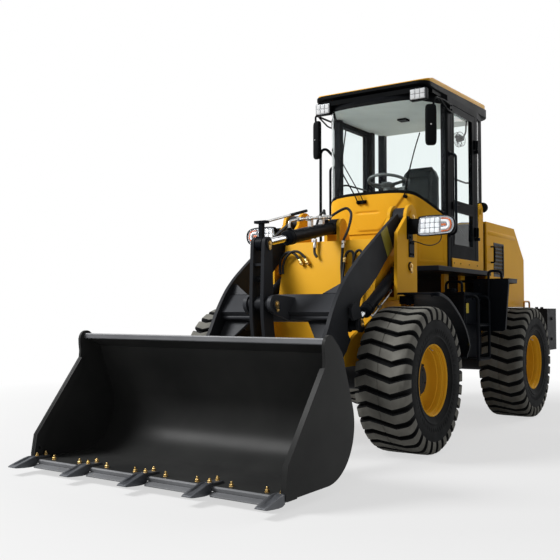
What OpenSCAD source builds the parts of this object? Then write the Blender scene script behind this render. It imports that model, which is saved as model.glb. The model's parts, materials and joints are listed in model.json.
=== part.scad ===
// Compact articulated wheel loader with a general purpose bucket on a Z-bar linkage.
// Millimetres, +X forward, +Y to the driver's left, +Z up, ground at Z = 0.

/* [Overall] */
// Length from bucket teeth to counterweight
overall_l = 5880; // [5000:10:7000]
// Distance between the axles
wheelbase = 2540; // [2200:10:2900]
// Rear axle to the back of the counterweight
rear_overhang = 1105; // [950:5:1300]
// Distance between the tyre centres on one axle
track = 1610; // [1400:10:1800]
// Front axle back to the articulation pin
pivot_back = 1270; // [1150:10:1400]

/* [Wheels] */
// Tyre outside diameter
tyre_d = 1100; // [1000:10:1200]
// Tyre section width
tyre_w = 420; // [340:5:460]
// Rim flange diameter
rim_d = 536; // [480:2:600]
// Tyre bead diameter
bead_d = 508; // [460:2:560]
// Rim barrel thickness
rim_t = 14; // [8:1:24]
// Planetary hub diameter
hub_d = 284; // [220:4:340]
// Hub face outside the wheel centre plane
hub_out = 85; // [50:5:120]
// Wheel disc thickness
disc_t = 26; // [16:1:40]
// Wheel spindle diameter
spindle_d = 120; // [80:2:160]

/* [Axles] */
// Axle tube diameter
axle_d = 200; // [160:4:240]
// Differential housing diameter
diff_d = 400; // [300:10:460]
// Differential housing width along the axle
diff_w = 260; // [200:10:340]
// Axle brake drum diameter
brake_d = 300; // [240:10:340]
// Width of each axle seat along the axle
seat_w = 120; // [80:5:180]
// Length of each axle seat
seat_l = 220; // [160:10:300]

/* [Boom] */
// Boom pivot pin behind the front axle
boom_pin_back = 470; // [400:5:560]
// Boom pivot pin height
boom_pin_z = 1835; // [1700:5:2000]
// Arm centre plane from the middle
arm_y = 515; // [460:5:560]
// Arm plate thickness
arm_t = 30; // [20:1:40]
// Boss diameter at the arm ends
arm_boss_d = 170; // [140:2:200]
// Boss width at the boom pivot
arm_boss_w = 104; // [80:2:112]
// Pin diameter at boom pivot and bucket hinge
big_pin_d = 70; // [50:2:90]
// Pin diameter at the cylinders and links
pin_d = 56; // [40:2:60]
// Thickness of gusset and bracket plates
bracket_t = 30; // [20:1:40]
// Clear width of the lift cylinder fork on the arm
fork_gap = 74; // [60:2:90]
// Plate thickness of that fork
fork_t = 20; // [14:1:26]
// Half distance between the bell crank bracket plates
crank_gap = 92; // [80:2:130]

/* [Linkage] */
// Bell crank upper pin behind its pivot
crank_top_back = 0; // [-40:5:60]
// Bell crank upper pin above its pivot
crank_top_up = 441; // [400:1:480]
// Bell crank lower pin behind its pivot
crank_foot_back = 150; // [110:5:220]
// Bell crank lower pin below its pivot
crank_foot_down = 650; // [560:5:680]
// Bell crank plate thickness
crank_t = 28; // [20:1:36]
// Gap between the two bell crank plates
crank_slot = 70; // [64:2:110]
// Link pin on the bucket behind the bucket hinge
link_pin_back = 35; // [20:5:80]
// Link pin on the bucket above the bucket hinge
link_pin_up = 165; // [150:5:230]
// Link bar width
link_w = 60; // [50:2:66]
// Tilt cylinder base pin behind the front axle
tilt_base_back = 260; // [200:5:320]
// Tilt cylinder base pin height
tilt_base_z = 1775; // [1700:5:1850]
// Tilt cylinder outside diameter
tilt_d = 104; // [90:2:120]
// Tilt cylinder rod diameter
tilt_rod_d = 56; // [44:2:64]
// Tilt cylinder barrel length from its base pin
tilt_barrel_l = 780; // [700:5:860]
// Lift cylinder base pin behind the front axle
lift_base_back = 430; // [380:5:480]
// Lift cylinder base pin height
lift_base_z = 1430; // [1380:5:1480]
// Lift cylinder outside diameter
lift_d = 92; // [80:2:100]
// Lift cylinder rod diameter
lift_rod_d = 50; // [40:2:60]
// Lift cylinder barrel length from its base pin
lift_barrel_l = 745; // [680:5:780]

/* [Bucket] */
// Bucket width
bucket_w = 2040; // [1800:10:2300]
// Tooth tips ahead of the bucket lip
tooth_reach = 185; // [120:5:220]
// Bucket hinge behind the lip
hinge_back = 850; // [760:5:940]
// Bucket hinge height
hinge_z = 300; // [260:5:360]
// Height of the bucket floor above ground
floor_z = 62; // [50:2:90]
// Bucket height above its floor
bucket_h = 860; // [760:5:960]
// Bucket depth from lip to back
bucket_depth = 755; // [680:5:820]
// Bucket shell thickness
shell_t = 16; // [10:1:22]
// Side plate thickness
side_t = 20; // [14:1:26]
// Radius of the bend at the back of the floor
bucket_bend_r = 320; // [260:10:360]
// Rear rim below the tops of the side plates
rim_down = 40; // [20:2:60]
// Rise of the rim plate from the back to its front edge
rim_rise = 70; // [50:2:90]
// Front edge of the rim plate behind the lip
rim_back = 450; // [400:5:500]
// Lean of the upper back
back_lean = 21; // [15:1:28]
// Thickness of the bolted edge segments
edge_t = 24; // [16:1:30]
// Depth of the bolted edge segments
edge_l = 150; // [110:5:180]
// Tooth width
tooth_w = 74; // [56:2:90]
// Tooth thickness at the lip
tooth_t = 64; // [50:2:70]
// Number of teeth
tooth_count = 5; // [3:1:7]
// Thickness of the bucket ears
ear_t = 28; // [20:1:36]

/* [Front frame] */
// Gap between inner and outer tower plates
tower_gap = 120; // [110:2:140]
// Tower plate thickness
tower_t = 28; // [20:1:34]
// Rear edge of the tower plates behind the front axle
tower_back = 570; // [540:5:620]
// Front foot of the tower plates ahead of the front axle
foot_ahead = 410; // [340:5:480]
// Radius of the rounded tower ears
tower_ear_r = 106; // [104:2:120]
// Lower edge of the outer tower plates
outer_plate_z = 1150; // [1130:5:1200]
// Thickness of the plates between the towers
web_t = 24; // [16:1:30]
// Thickness of the articulation plates
yoke_t = 40; // [30:1:50]
// Height of the upper articulation plate
yoke_high_z = 880; // [840:5:920]
// Height of the lower articulation plate
yoke_low_z = 470; // [440:5:500]
// Radius of the articulation plate ends
yoke_r = 130; // [110:5:150]
// Articulation pin diameter
yoke_pin_d = 84; // [60:2:100]
// Air gap between the articulation plates
yoke_gap = 6; // [5:0.5:10]

/* [Fenders and lights] */
// Sheet thickness of the fenders
fender_t = 10; // [6:1:14]
// Inner edge of the front fenders
fender_in = 640; // [610:5:680]
// Outer edge of the front fenders
fender_out = 985; // [900:5:1010]
// Headlight width
lamp_w = 335; // [300:5:350]
// Headlight height
lamp_h = 170; // [140:5:190]
// Headlight depth
lamp_l = 130; // [100:5:160]
// Headlight lower edge height
lamp_z = 1664; // [1640:4:1720]
// Headlight face behind the front axle
lamp_back = 350; // [320:5:380]
// Front edge of the front fenders behind the front axle
fender_front = 98; // [80:2:140]
// Rear edge of the front fenders behind the front axle
fender_rear = 808; // [780:2:812]
// Lower end of the front fenders
fender_z0 = 681; // [660:1:720]
// Top of the front fenders
fender_z1 = 1211; // [1190:1:1240]

/* [Rear frame] */
// Frame rail centre from the middle
rail_y = 405; // [360:5:440]
// Frame rail plate thickness
rail_t = 32; // [24:1:40]
// Frame rail lower edge
rail_z = 650; // [640:5:690]
// Frame rail upper edge
rail_top_z = 1060; // [1020:5:1100]
// Thickness of the fork plates on the articulation pin
fork_plate_t = 34; // [26:1:44]
// Front end of the frame rails behind the articulation pin
rail_back = 330; // [300:5:360]
// Length of the fork plates behind the articulation pin
fork_l = 400; // [370:5:430]
// Cross plate behind the articulation pin
cross_back = 570; // [540:5:600]
// End of the deep part of the frame rails behind the articulation pin
rail_step_back = 620; // [590:5:660]
// Counterweight height
weight_h = 450; // [380:5:520]
// Counterweight top height
weight_top_z = 1090; // [1050:5:1130]
// Counterweight width
weight_w = 1900; // [1700:10:2000]
// Counterweight length along the machine
weight_l = 470; // [400:5:480]
// Engine block length
engine_l = 640; // [560:10:720]
// Engine block width
engine_w = 480; // [400:10:560]
// Engine block height
engine_h = 760; // [640:10:800]
// Front of the engine block behind the cab
engine_back = 100; // [80:5:160]
// Lower edge of the engine block
engine_z = 860; // [820:5:900]

/* [Hood] */
// Front edge of the hood behind the rear of the cab
hood_gap = 30; // [20:2:60]
// Hood width
hood_w = 1200; // [1100:10:1260]
// Hood top height
hood_top_z = 1970; // [1900:10:2040]
// Hood lower edge height
hood_low_z = 1106; // [1100:2:1130]
// Rear face of the hood ahead of the counterweight back
hood_rear_in = 130; // [100:5:200]
// Hood sheet thickness
hood_t = 20; // [12:1:28]
// Hood hinge diameter
hood_hinge_d = 40; // [30:2:50]
// Vent length
vent_l = 300; // [240:10:360]
// Vent height
vent_h = 330; // [260:10:380]
// Lower edge of the vent
vent_z = 1430; // [1380:10:1480]
// Front edge of the vent behind the front axle
vent_back = 2500; // [2440:10:2560]
// Rear grille width
grille_w = 760; // [640:10:860]
// Rear grille height
grille_h = 400; // [320:10:440]
// Depth of the vent and grille recesses
vent_t = 12; // [6:1:14]

/* [Cab] */
// Cowl front behind the front axle
cab_front = 880; // [820:5:920]
// Front door pillar behind the front axle
pillar_front = 1340; // [1300:5:1380]
// Rear door pillar behind the front axle
pillar_rear = 1965; // [1920:5:2010]
// Cab rear wall behind the front axle
cab_rear = 2250; // [2200:5:2320]
// Cab width at the doors
cab_w = 1200; // [1120:5:1280]
// Cab width at the rear wall
cab_rear_w = 1130; // [1040:5:1180]
// Cowl width across its front
cowl_w = 800; // [720:5:860]
// Height of the cowl top edge at the front
cowl_top_z = 2160; // [2100:5:2200]
// Height of the cowl top edge at the door pillars
cowl_side_z = 1860; // [1800:5:1920]
// Top of the cab floor
floor_top_z = 1460; // [1420:5:1500]
// Cab floor thickness
cab_floor_t = 44; // [30:2:60]
// Cab floor width
cab_floor_w = 1310; // [1220:5:1360]
// Door sill height
sill_z = 1545; // [1520:5:1580]
// Underside of the roof frame
roof_z = 2975; // [2900:5:3050]
// Roof frame height
roof_beam_h = 60; // [40:2:80]
// Cab pillar size
pillar_t = 70; // [50:2:90]
// Cab panel thickness
panel_t = 22; // [14:1:30]
// Glass thickness
glass_t = 8; // [5:1:12]
// Roof width
roof_w = 1160; // [1080:5:1240]
// Roof front edge behind the front axle
roof_front = 850; // [800:5:900]
// Roof rear edge behind the front axle
roof_rear = 2420; // [2340:5:2480]
// Roof cap height
roof_h = 120; // [80:2:140]
// Roof visor height
visor_h = 44; // [30:2:60]

/* [Doors] */
// Gap around the doors
door_gap = 6; // [5:0.5:10]
// Door frame bar width
door_bar = 54; // [44:2:70]
// Door thickness
door_t = 40; // [30:2:50]
// Door hinge barrel diameter
door_hinge_d = 30; // [24:2:36]
// Height of the door's lower rail
door_rail_h = 120; // [90:5:180]
// Lower edge of the door's middle rail
door_mid_z = 1990; // [1940:5:2060]
// Height of the door's middle rail
door_mid_h = 90; // [60:5:120]

/* [Cab interior] */
// Seat centre behind the front axle
seat_back = 1850; // [1800:5:1890]
// Seat cushion width
seat_cushion_w = 450; // [400:10:520]
// Seat cushion length
seat_cushion_l = 480; // [420:10:520]
// Seat cushion top height
seat_z = 1930; // [1880:10:1980]
// Seat cushion thickness
seat_t = 130; // [100:5:160]
// Backrest height
backrest_h = 640; // [560:10:700]
// Steering wheel diameter
wheel_d = 400; // [350:10:440]
// Steering wheel rim thickness
wheel_rim_d = 30; // [24:1:36]
// Steering column diameter
column_d = 90; // [70:2:120]
// Steering wheel centre behind the front axle
wheel_back = 1270; // [1230:5:1330]
// Steering wheel centre height
wheel_z = 2290; // [2220:5:2340]
// Lean of the steering column
column_lean = 14; // [8:1:30]
// Console width beside the seat
console_w = 150; // [120:5:170]
// Console height
console_h = 520; // [440:10:580]

/* [Steps and tanks] */
// Front of the side tanks behind the front axle
tank_front = 1310; // [1290:5:1360]
// Side tank length
tank_l = 470; // [400:5:520]
// Side tank outer face from the middle
tank_out = 730; // [680:5:750]
// Side tank top height
tank_top_z = 1235; // [1180:5:1280]
// Side tank height
tank_h = 610; // [520:5:680]
// Inner face of the lower part of the side tanks
tank_low_y = 535; // [525:5:600]
// Ladder front rail behind the front axle
step_front = 1385; // [1370:5:1420]
// Distance between the ladder rails
step_w = 300; // [260:5:340]
// Step depth
step_depth = 110; // [90:5:140]
// Step plate thickness
step_t = 26; // [18:1:34]
// Height of the lowest step
step_low_z = 615; // [560:5:680]
// Rise between the steps
step_rise = 310; // [260:5:340]
// Tube diameter of rails and handles
tube_d = 32; // [26:1:40]

/* [Mirrors and rails] */
// Mirror width
mirror_w = 150; // [130:5:180]
// Mirror height
mirror_h = 370; // [300:5:380]
// Mirror housing depth
mirror_t = 50; // [36:2:70]
// Mirror centre from the middle
mirror_y = 580; // [570:5:610]
// Mirror centre height
mirror_z = 2700; // [2660:10:2720]
// Mirror behind the front axle
mirror_back = 930; // [920:5:960]
// Work light width
work_w = 150; // [110:5:170]
// Work light height
work_h = 110; // [80:5:130]
// Work light depth
work_l = 60; // [40:5:70]
// Work light centre from the middle
work_y = 500; // [490:5:530]

/* [Steering cylinders] */
// Rear eye behind the articulation pin
steer_base_back = 450; // [400:5:500]
// Rear eye from the middle
steer_base_y = 300; // [270:5:320]
// Front eye ahead of the articulation pin
steer_eye_ahead = 470; // [420:5:520]
// Front eye from the middle
steer_eye_y = 350; // [320:5:380]
// Height of the steering cylinders
steer_z = 715; // [680:5:740]
// Steering cylinder outside diameter
steer_d = 76; // [60:2:90]
// Steering cylinder rod diameter
steer_rod_d = 40; // [30:2:46]
// Steering cylinder barrel length from its pin
steer_barrel_l = 560; // [500:5:600]

/* [Clearances] */
// Running clearance of pins and rods, on the radius
pin_clear = 0.1; // [0.02:0.01:0.3]
// Running clearance of door and hood hinges, on the radius
hinge_clear = 0.8; // [0.3:0.1:0.9]
// Side clearance of eyes between their plates
eye_clear = 5; // [3:0.5:8]
// Seat clearance between separate pieces
seat_clear = 0.2; // [0.1:0.05:0.5]
// Overrun of a cut beyond the face it opens
overrun = 2; // [1:0.5:5]

/* [Hidden] */
$fn = 40;

// Places along the machine
front_x = -overall_l / 2 + rear_overhang + wheelbase;
rear_x = front_x - wheelbase;
pivot_x = front_x - pivot_back;
axle_z = tyre_d / 2;
lip_x = overall_l / 2 - tooth_reach;

// Boom pivot, bucket hinge and the boom's own directions
boom_pin = [front_x - boom_pin_back, boom_pin_z];
hinge = [lip_x - hinge_back, hinge_z];
boom_l = norm(hinge - boom_pin);
boom_dir = (hinge - boom_pin) / boom_l;
boom_up = [-boom_dir.y, boom_dir.x];

// A place on the boom from its shares along and across the pivot to hinge line
function on_boom(s) = boom_pin + boom_l * (s.x * boom_dir + s.y * boom_up);

// A place in a rectangle from its shares
function in_box(s, x0, x1, z0, z1) = [x0 + s.x * (x1 - x0), z0 + s.y * (z1 - z0)];

// Points along an arc, from angle a0 to a1 in n steps
function arc(c, r, a0, a1, n) = [
    for (i = [0 : n]) let (a = a0 + (a1 - a0) * i / n) c + r * [cos(a), sin(a)]];

// Linkage pins
crank_pin_share = [0.6354, 0.1523];
crank_pin = on_boom(crank_pin_share);
crank_top = crank_pin + [-crank_top_back, crank_top_up];
crank_foot = crank_pin + [-crank_foot_back, -crank_foot_down];
link_pin = hinge + [-link_pin_back, link_pin_up];
lift_pin_share = [0.5274, -0.0362];
lift_pin = on_boom(lift_pin_share);
lift_base = [front_x - lift_base_back, lift_base_z];
tilt_base = [front_x - tilt_base_back, tilt_base_z];

// Cross stations of the tower plates
inner_y = arm_y - tower_gap / 2 - tower_t;
outer_y = arm_y + tower_gap / 2;

// Half of a size, for pieces laid out about the middle plane
half_bucket = bucket_w / 2;
half_cab = cab_w / 2;
half_hood = hood_w / 2;

yellow = [0.93, 0.68, 0.08];
black = [0.10, 0.11, 0.13];
rubber = [0.12, 0.12, 0.12];
steel = [0.70, 0.71, 0.73];
glass = [0.55, 0.70, 0.72, 0.5];
iron = [0.22, 0.24, 0.27];

// A plate standing along the machine, from y0 to y0 + t, drawn in X and Z
module slab(y0, t) {
    translate([0, y0 + t, 0])
        rotate([90, 0, 0])
            linear_extrude(t) children();
}

// A cylinder across the machine from y0 to y1
module bar_y(p, y0, y1, d) {
    translate([p.x, y1, p.y])
        rotate([90, 0, 0])
            cylinder(h = y1 - y0, d = d);
}

// The same thing on the left and on the right
module both_sides() {
    children();
    mirror([0, 1, 0]) children();
}

// A box from its corners
module block(a, b) {
    translate(a) cube(b - a);
}

// A place and turn along a cylinder from pin a to pin b in X and Z
module along(a, b, y) {
    translate([a.x, y, a.y])
        rotate([0, -atan2(b.y - a.y, b.x - a.x), 0])
            children();
}

// Rear frame rails, articulation fork and cab posts
rail_front_x = pivot_x - rail_back;
rail_rear_x = -overall_l / 2 + weight_l;
rail_step_x = pivot_x - rail_step_back;
fork_back_x = pivot_x - fork_l;
rail_foot_z = yoke_low_z - yoke_gap - fork_plate_t;
cross_x = pivot_x - cross_back;
post_l = 110;
steer_pin_d = 40;
steer_eye_d = 84;
steer_eye_w = 44;
lug_t = 22;
floor_low_z = floor_top_z - cab_floor_t;

// One fork plate on the articulation pin, lower face at z
module fork_plate(z, t) {
    translate([0, 0, z])
        linear_extrude(t)
            union() {
                translate([pivot_x, 0]) circle(r = yoke_r);
                polygon([
                    [pivot_x, yoke_r], [rail_front_x, rail_y], [fork_back_x, rail_y],
                    [fork_back_x, -rail_y], [rail_front_x, -rail_y], [pivot_x, -yoke_r]]);
            }
}

// Two lugs above and below an eye with an upright pin, from the eye to the plate that carries them
module flat_lugs(p, y, x_root) {
    for (s = [-1, 1]) {
        z0 = steer_z + (s > 0 ? steer_eye_w / 2 + eye_clear : -steer_eye_w / 2 - eye_clear - lug_t);
        translate([0, 0, z0])
            linear_extrude(lug_t)
                union() {
                    translate([p, y]) circle(d = steer_eye_d);
                    polygon([
                        [p, y - steer_eye_d / 2], [p, y + steer_eye_d / 2],
                        [x_root, y + steer_eye_d / 2], [x_root, y - steer_eye_d / 2]]);
                }
    }
}

module rear_frame() {
    color(yellow) {
        both_sides() slab(rail_y - rail_t / 2, rail_t)
            polygon([
                [rail_front_x, rail_foot_z], [rail_front_x, rail_top_z], [rail_rear_x, rail_top_z],
                [rail_rear_x, rail_z], [rail_step_x, rail_z], [fork_back_x, rail_foot_z]]);
        fork_plate(yoke_high_z + yoke_t + yoke_gap, fork_plate_t);
        fork_plate(yoke_high_z - yoke_gap - fork_plate_t, fork_plate_t);
        fork_plate(yoke_low_z + yoke_t + yoke_gap, fork_plate_t);
        fork_plate(rail_foot_z, fork_plate_t);
        // Articulation pins
        translate([pivot_x, 0, rail_foot_z])
            cylinder(h = yoke_t + 2 * yoke_gap + 2 * fork_plate_t, d = yoke_pin_d);
        translate([pivot_x, 0, yoke_high_z - yoke_gap - fork_plate_t])
            cylinder(h = yoke_t + 2 * yoke_gap + 2 * fork_plate_t, d = yoke_pin_d);
        // Cross plates between the rails
        block([cross_x - web_t, -rail_y, rail_z], [cross_x, rail_y, rail_top_z]);
        block([rail_rear_x, -rail_y, rail_z], [rail_rear_x + web_t, rail_y, rail_top_z]);
        // Steering cylinder lugs with their pins
        both_sides() {
            flat_lugs(pivot_x - steer_base_back, steer_base_y, cross_x);
            translate([pivot_x - steer_base_back, steer_base_y, steer_z - steer_eye_w])
                cylinder(h = 2 * steer_eye_w, d = steer_pin_d);
        }
        // Posts under the cab
        both_sides() for (x = [rail_front_x - post_l, front_x - cab_rear + post_l])
            block([x, rail_y - rail_t / 2, rail_top_z], [x + post_l, rail_y + rail_t / 2, floor_low_z]);
    }
}

// Axle with differential, brake drums, spindles and seats
module axle(x, y_seat) {
    disc_in = track / 2 - disc_t / 2 - eye_clear;
    brake_in = track / 2 - tyre_w / 2;
    color(iron) {
        translate([x, 0, 0]) {
            bar_y([0, axle_z], -brake_in, brake_in, axle_d);
            bar_y([0, axle_z], -diff_w / 2, diff_w / 2, diff_d);
            both_sides() {
                bar_y([0, axle_z], brake_in, disc_in, brake_d);
                bar_y([0, axle_z], disc_in, track / 2 + hub_out / 2, spindle_d);
                block([-seat_l / 2, y_seat - seat_w / 2, axle_z],
                    [seat_l / 2, y_seat + seat_w / 2, rail_z]);
            }
        }
    }
}

module rear_axle() {
    axle(rear_x, rail_y);
}

module front_axle() {
    axle(front_x, inner_y + tower_t / 2);
}

engine_x = front_x - cab_rear - engine_back;
mount_h = 60;

module engine() {
    color(iron) {
        block([engine_x - engine_l, -engine_w / 2, engine_z],
            [engine_x, engine_w / 2, engine_z + engine_h]);
        for (x = [engine_x - engine_l, engine_x - mount_h])
            block([x, -rail_y + rail_t / 2, rail_top_z - mount_h],
                [x + mount_h, rail_y - rail_t / 2, rail_top_z]);
    }
}

// Hood hinge line and the counterweight that carries it
hood_rear_x = -overall_l / 2 + hood_rear_in;
hood_front_x = front_x - cab_rear - hood_gap;
hood_axis = [hood_rear_x - hood_hinge_d / 2 - eye_clear, hood_low_z + hood_hinge_d];
hood_pin_d = 20;
knuckle_y = 330;
knuckle_w = 80;
weight_chamfer = 120;
weight_low_z = weight_top_z - weight_h;

module counterweight() {
    rear = -overall_l / 2;
    color(iron) {
        difference() {
            translate([0, 0, weight_low_z])
                linear_extrude(weight_h)
                    polygon([
                        [rear, weight_w / 2 - weight_chamfer], [rear + weight_chamfer, weight_w / 2],
                        [rail_rear_x, weight_w / 2], [rail_rear_x, -weight_w / 2],
                        [rear + weight_chamfer, -weight_w / 2], [rear, -weight_w / 2 + weight_chamfer]]);
            slab(-weight_w, 2 * weight_w)
                polygon([
                    [rear - overrun, weight_low_z - overrun],
                    [rear + weight_chamfer, weight_low_z - overrun],
                    [rear - overrun, weight_low_z + weight_chamfer]]);
        }
        // Hinge brackets for the hood
        both_sides() {
            block([hood_axis.x - hood_hinge_d / 2, knuckle_y + knuckle_w / 2 + eye_clear, weight_top_z],
                [hood_axis.x + hood_hinge_d / 2, knuckle_y + knuckle_w / 2 + eye_clear + lug_t, hood_axis.y]);
            bar_y(hood_axis, knuckle_y + knuckle_w / 2 + eye_clear,
                knuckle_y + knuckle_w / 2 + eye_clear + lug_t, hood_hinge_d);
            bar_y(hood_axis, knuckle_y - knuckle_w / 2, knuckle_y + knuckle_w / 2 + eye_clear, hood_pin_d);
        }
    }
}

// Where the sloping tail of the hood starts on its back and ends on its top
tail_shares = [0.28, 0.62];

// Side outline of the hood, drawn in by t
function hood_side(t) = [
    [hood_rear_x + t, hood_low_z],
    [hood_rear_x + t, hood_low_z + tail_shares.y * (hood_top_z - hood_low_z)],
    [hood_rear_x + t + tail_shares.x * (hood_front_x - hood_rear_x), hood_top_z - t],
    [hood_front_x, hood_top_z - t],
    [hood_front_x, hood_low_z]];
vent_x = front_x - vent_back;
grille_z = hood_low_z + hood_hinge_d * 2;

module hood() {
    color(yellow) {
        difference() {
            slab(-half_hood, hood_w) polygon(hood_side(0));
            translate([overrun, 0, -overrun])
                slab(-half_hood + hood_t, hood_w - 2 * hood_t) polygon(hood_side(hood_t));
            block([hood_rear_x + hood_t, -half_hood + hood_t, hood_low_z - overrun],
                [hood_front_x + overrun, half_hood - hood_t, hood_low_z + hood_t]);
            // Recesses of the side vents and of the rear grille
            both_sides() block([vent_x - vent_l, half_hood - vent_t, vent_z],
                [vent_x, half_hood + overrun, vent_z + vent_h]);
            block([hood_rear_x - overrun, -grille_w / 2, grille_z],
                [hood_rear_x + vent_t, grille_w / 2, grille_z + grille_h]);
        }
        both_sides() difference() {
            union() {
                bar_y(hood_axis, knuckle_y - knuckle_w / 2, knuckle_y + knuckle_w / 2, hood_hinge_d);
                block([hood_axis.x, knuckle_y - knuckle_w / 2, hood_axis.y - hood_hinge_d / 4],
                    [hood_rear_x + hood_t, knuckle_y + knuckle_w / 2, hood_axis.y + hood_hinge_d / 4]);
            }
            bar_y(hood_axis, knuckle_y - knuckle_w, knuckle_y + knuckle_w, hood_pin_d + 2 * hinge_clear);
        }
    }
}

tank_x = front_x - tank_front;
tank_in = rail_y + rail_t / 2;

module side_tanks() {
    relief_z = steer_z + steer_eye_d / 2 + lug_t;
    color(black) both_sides() {
        block([tank_x - tank_l, tank_in, relief_z], [tank_x, tank_out, tank_top_z]);
        block([tank_x - tank_l, tank_low_y, tank_top_z - tank_h], [tank_x, tank_out, relief_z + overrun]);
    }
}

ladder_top_z = tank_top_z - tube_d;

module boarding_steps() {
    x0 = front_x - step_front;
    color(black) both_sides() {
        for (i = [0, 1])
            block([x0 - step_w, tank_out, step_low_z + i * step_rise],
                [x0, tank_out + step_depth, step_low_z + i * step_rise + step_t]);
        for (x = [x0, x0 - step_w]) {
            translate([x, tank_out + step_depth - tube_d / 2, step_low_z])
                cylinder(h = ladder_top_z - step_low_z, d = tube_d);
            bar_y([x, ladder_top_z - tube_d / 2], tank_out, tank_out + step_depth - tube_d / 2, tube_d);
        }
    }
}

rear_fender_z = 1370;
rear_fender_x = tank_x - tank_l;
rear_fender_l = 580;
rear_fender_drop = 500;

module rear_fenders() {
    color(black) both_sides() slab(fender_in, fender_out - fender_in)
        polygon([
            [rear_fender_x, rear_fender_z - rear_fender_drop], [rear_fender_x, rear_fender_z],
            [rear_fender_x - rear_fender_l, rear_fender_z],
            [rear_fender_x - rear_fender_l, rear_fender_z - fender_t],
            [rear_fender_x - fender_t, rear_fender_z - fender_t],
            [rear_fender_x - fender_t, rear_fender_z - rear_fender_drop]]);
}

// Cab plan
cab_front_x = front_x - cab_front;
pillar_front_x = front_x - pillar_front;
pillar_rear_x = front_x - pillar_rear;
cab_rear_x = front_x - cab_rear;
nose_x = pillar_front_x + pillar_t;
nose_flat_share = 0.3;
nose_shares = [[0, 1], [0.3, 0.91], [0.55, 0.83], [0.75, 0.76], [0.897, 0.667], [0.965, 0.5], [1, 0.25]];
half_rear = cab_rear_w / 2;

// Nose of the cab, drawn in by t
function nose(t) = let (
    left = [for (s = nose_shares)
        [nose_x + s.x * (cab_front_x - nose_x) - (s.x > 0 ? t : 0),
            s.y * half_cab - (s.y > nose_flat_share ? t : 0)]],
    n = len(left) - 1)
    concat(left, [for (i = [0 : n]) [left[n - i].x, -left[n - i].y]]);

// Everything below the slope of the cowl's top edge
module cowl_slope() {
    slab(-cab_w, 2 * cab_w)
        polygon([
            [nose_x - pillar_t, cowl_side_z], [cab_front_x + pillar_t, cowl_top_z],
            [cab_front_x + pillar_t, floor_low_z], [nose_x - pillar_t, floor_low_z]]);
}

module cab_floor() {
    color(black)
        block([cab_rear_x, -cab_floor_w / 2, floor_low_z],
            [cab_front_x - panel_t, cab_floor_w / 2, floor_top_z]);
}

module cab_frame() {
    color(black) {
        both_sides() {
            block([pillar_front_x, half_cab - pillar_t, floor_top_z], [nose_x, half_cab, roof_z]);
            block([pillar_rear_x - pillar_t, half_cab - pillar_t, floor_top_z],
                [pillar_rear_x, half_cab, roof_z]);
            block([cab_rear_x, half_rear - pillar_t, floor_top_z],
                [cab_rear_x + pillar_t, half_rear, roof_z]);
            block([pillar_rear_x, half_cab - pillar_t, floor_top_z],
                [pillar_front_x, half_cab, sill_z]);
            // Door hinge pins on their brackets
            for (z = [hinge_low_z, hinge_high_z]) {
                block([pillar_rear_x - pillar_t / 2, half_cab, z - bracket_h],
                    [door_axis.x, door_axis.y + door_hinge_d / 2, z]);
                translate([door_axis.x, door_axis.y, z - bracket_h])
                    cylinder(h = bracket_h, d = door_hinge_d);
                translate([door_axis.x, door_axis.y, z])
                    cylinder(h = hinge_h + eye_clear, d = door_hinge_d / 2);
            }
        }
        translate([0, 0, roof_z])
            linear_extrude(roof_beam_h)
                polygon(concat(nose(0), [
                    [pillar_rear_x - pillar_t, -half_cab], [cab_rear_x, -half_rear],
                    [cab_rear_x, half_rear], [pillar_rear_x - pillar_t, half_cab]]));
    }
}

module cab_cowl() {
    color(yellow) difference() {
        translate([0, 0, floor_top_z])
            linear_extrude(cowl_top_z - floor_top_z) polygon(nose(0));
        translate([-overrun, 0, floor_top_z - overrun])
            linear_extrude(cowl_top_z) polygon(nose(panel_t));
        difference() {
            block([nose_x - pillar_t, -cab_w, floor_top_z], [cab_front_x + pillar_t, cab_w, roof_z]);
            cowl_slope();
        }
    }
}

back_panel_z = 1950;

module cab_back_panel() {
    color(black) {
        block([cab_rear_x, -half_rear + pillar_t, floor_top_z],
            [cab_rear_x + panel_t, half_rear - pillar_t, back_panel_z]);
        both_sides() translate([0, 0, floor_top_z])
            linear_extrude(back_panel_z - floor_top_z)
                polygon([
                    [cab_rear_x + pillar_t, half_rear], [pillar_rear_x - pillar_t, half_cab],
                    [pillar_rear_x - pillar_t, half_cab - panel_t],
                    [cab_rear_x + pillar_t, half_rear - panel_t]]);
    }
}

visor_z = roof_z + roof_beam_h;
cap_z = visor_z + visor_h;
roof_front_x = front_x - roof_front;
roof_rear_x = front_x - roof_rear;
roof_corner = 110;
cap_in = 40;

// Roof plan with cut corners, drawn in by t
function roof_plan(t) = [
    [roof_front_x - t, roof_w / 2 - roof_corner], [roof_front_x - roof_corner, roof_w / 2 - t],
    [roof_rear_x + roof_corner, roof_w / 2 - t], [roof_rear_x + t, roof_w / 2 - roof_corner],
    [roof_rear_x + t, -roof_w / 2 + roof_corner], [roof_rear_x + roof_corner, -roof_w / 2 + t],
    [roof_front_x - roof_corner, -roof_w / 2 + t], [roof_front_x - t, -roof_w / 2 + roof_corner]];

module roof_visor() {
    color(black) translate([0, 0, visor_z]) linear_extrude(visor_h) polygon(roof_plan(0));
}

module cab_roof() {
    color(yellow) translate([0, 0, cap_z]) linear_extrude(roof_h) polygon(roof_plan(cap_in));
}

module windshield() {
    color(glass) difference() {
        translate([0, 0, cowl_side_z]) linear_extrude(roof_z - cowl_side_z) polygon(nose(0));
        translate([-overrun, 0, cowl_side_z - overrun]) linear_extrude(roof_z) polygon(nose(glass_t));
        cowl_slope();
    }
}

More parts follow.
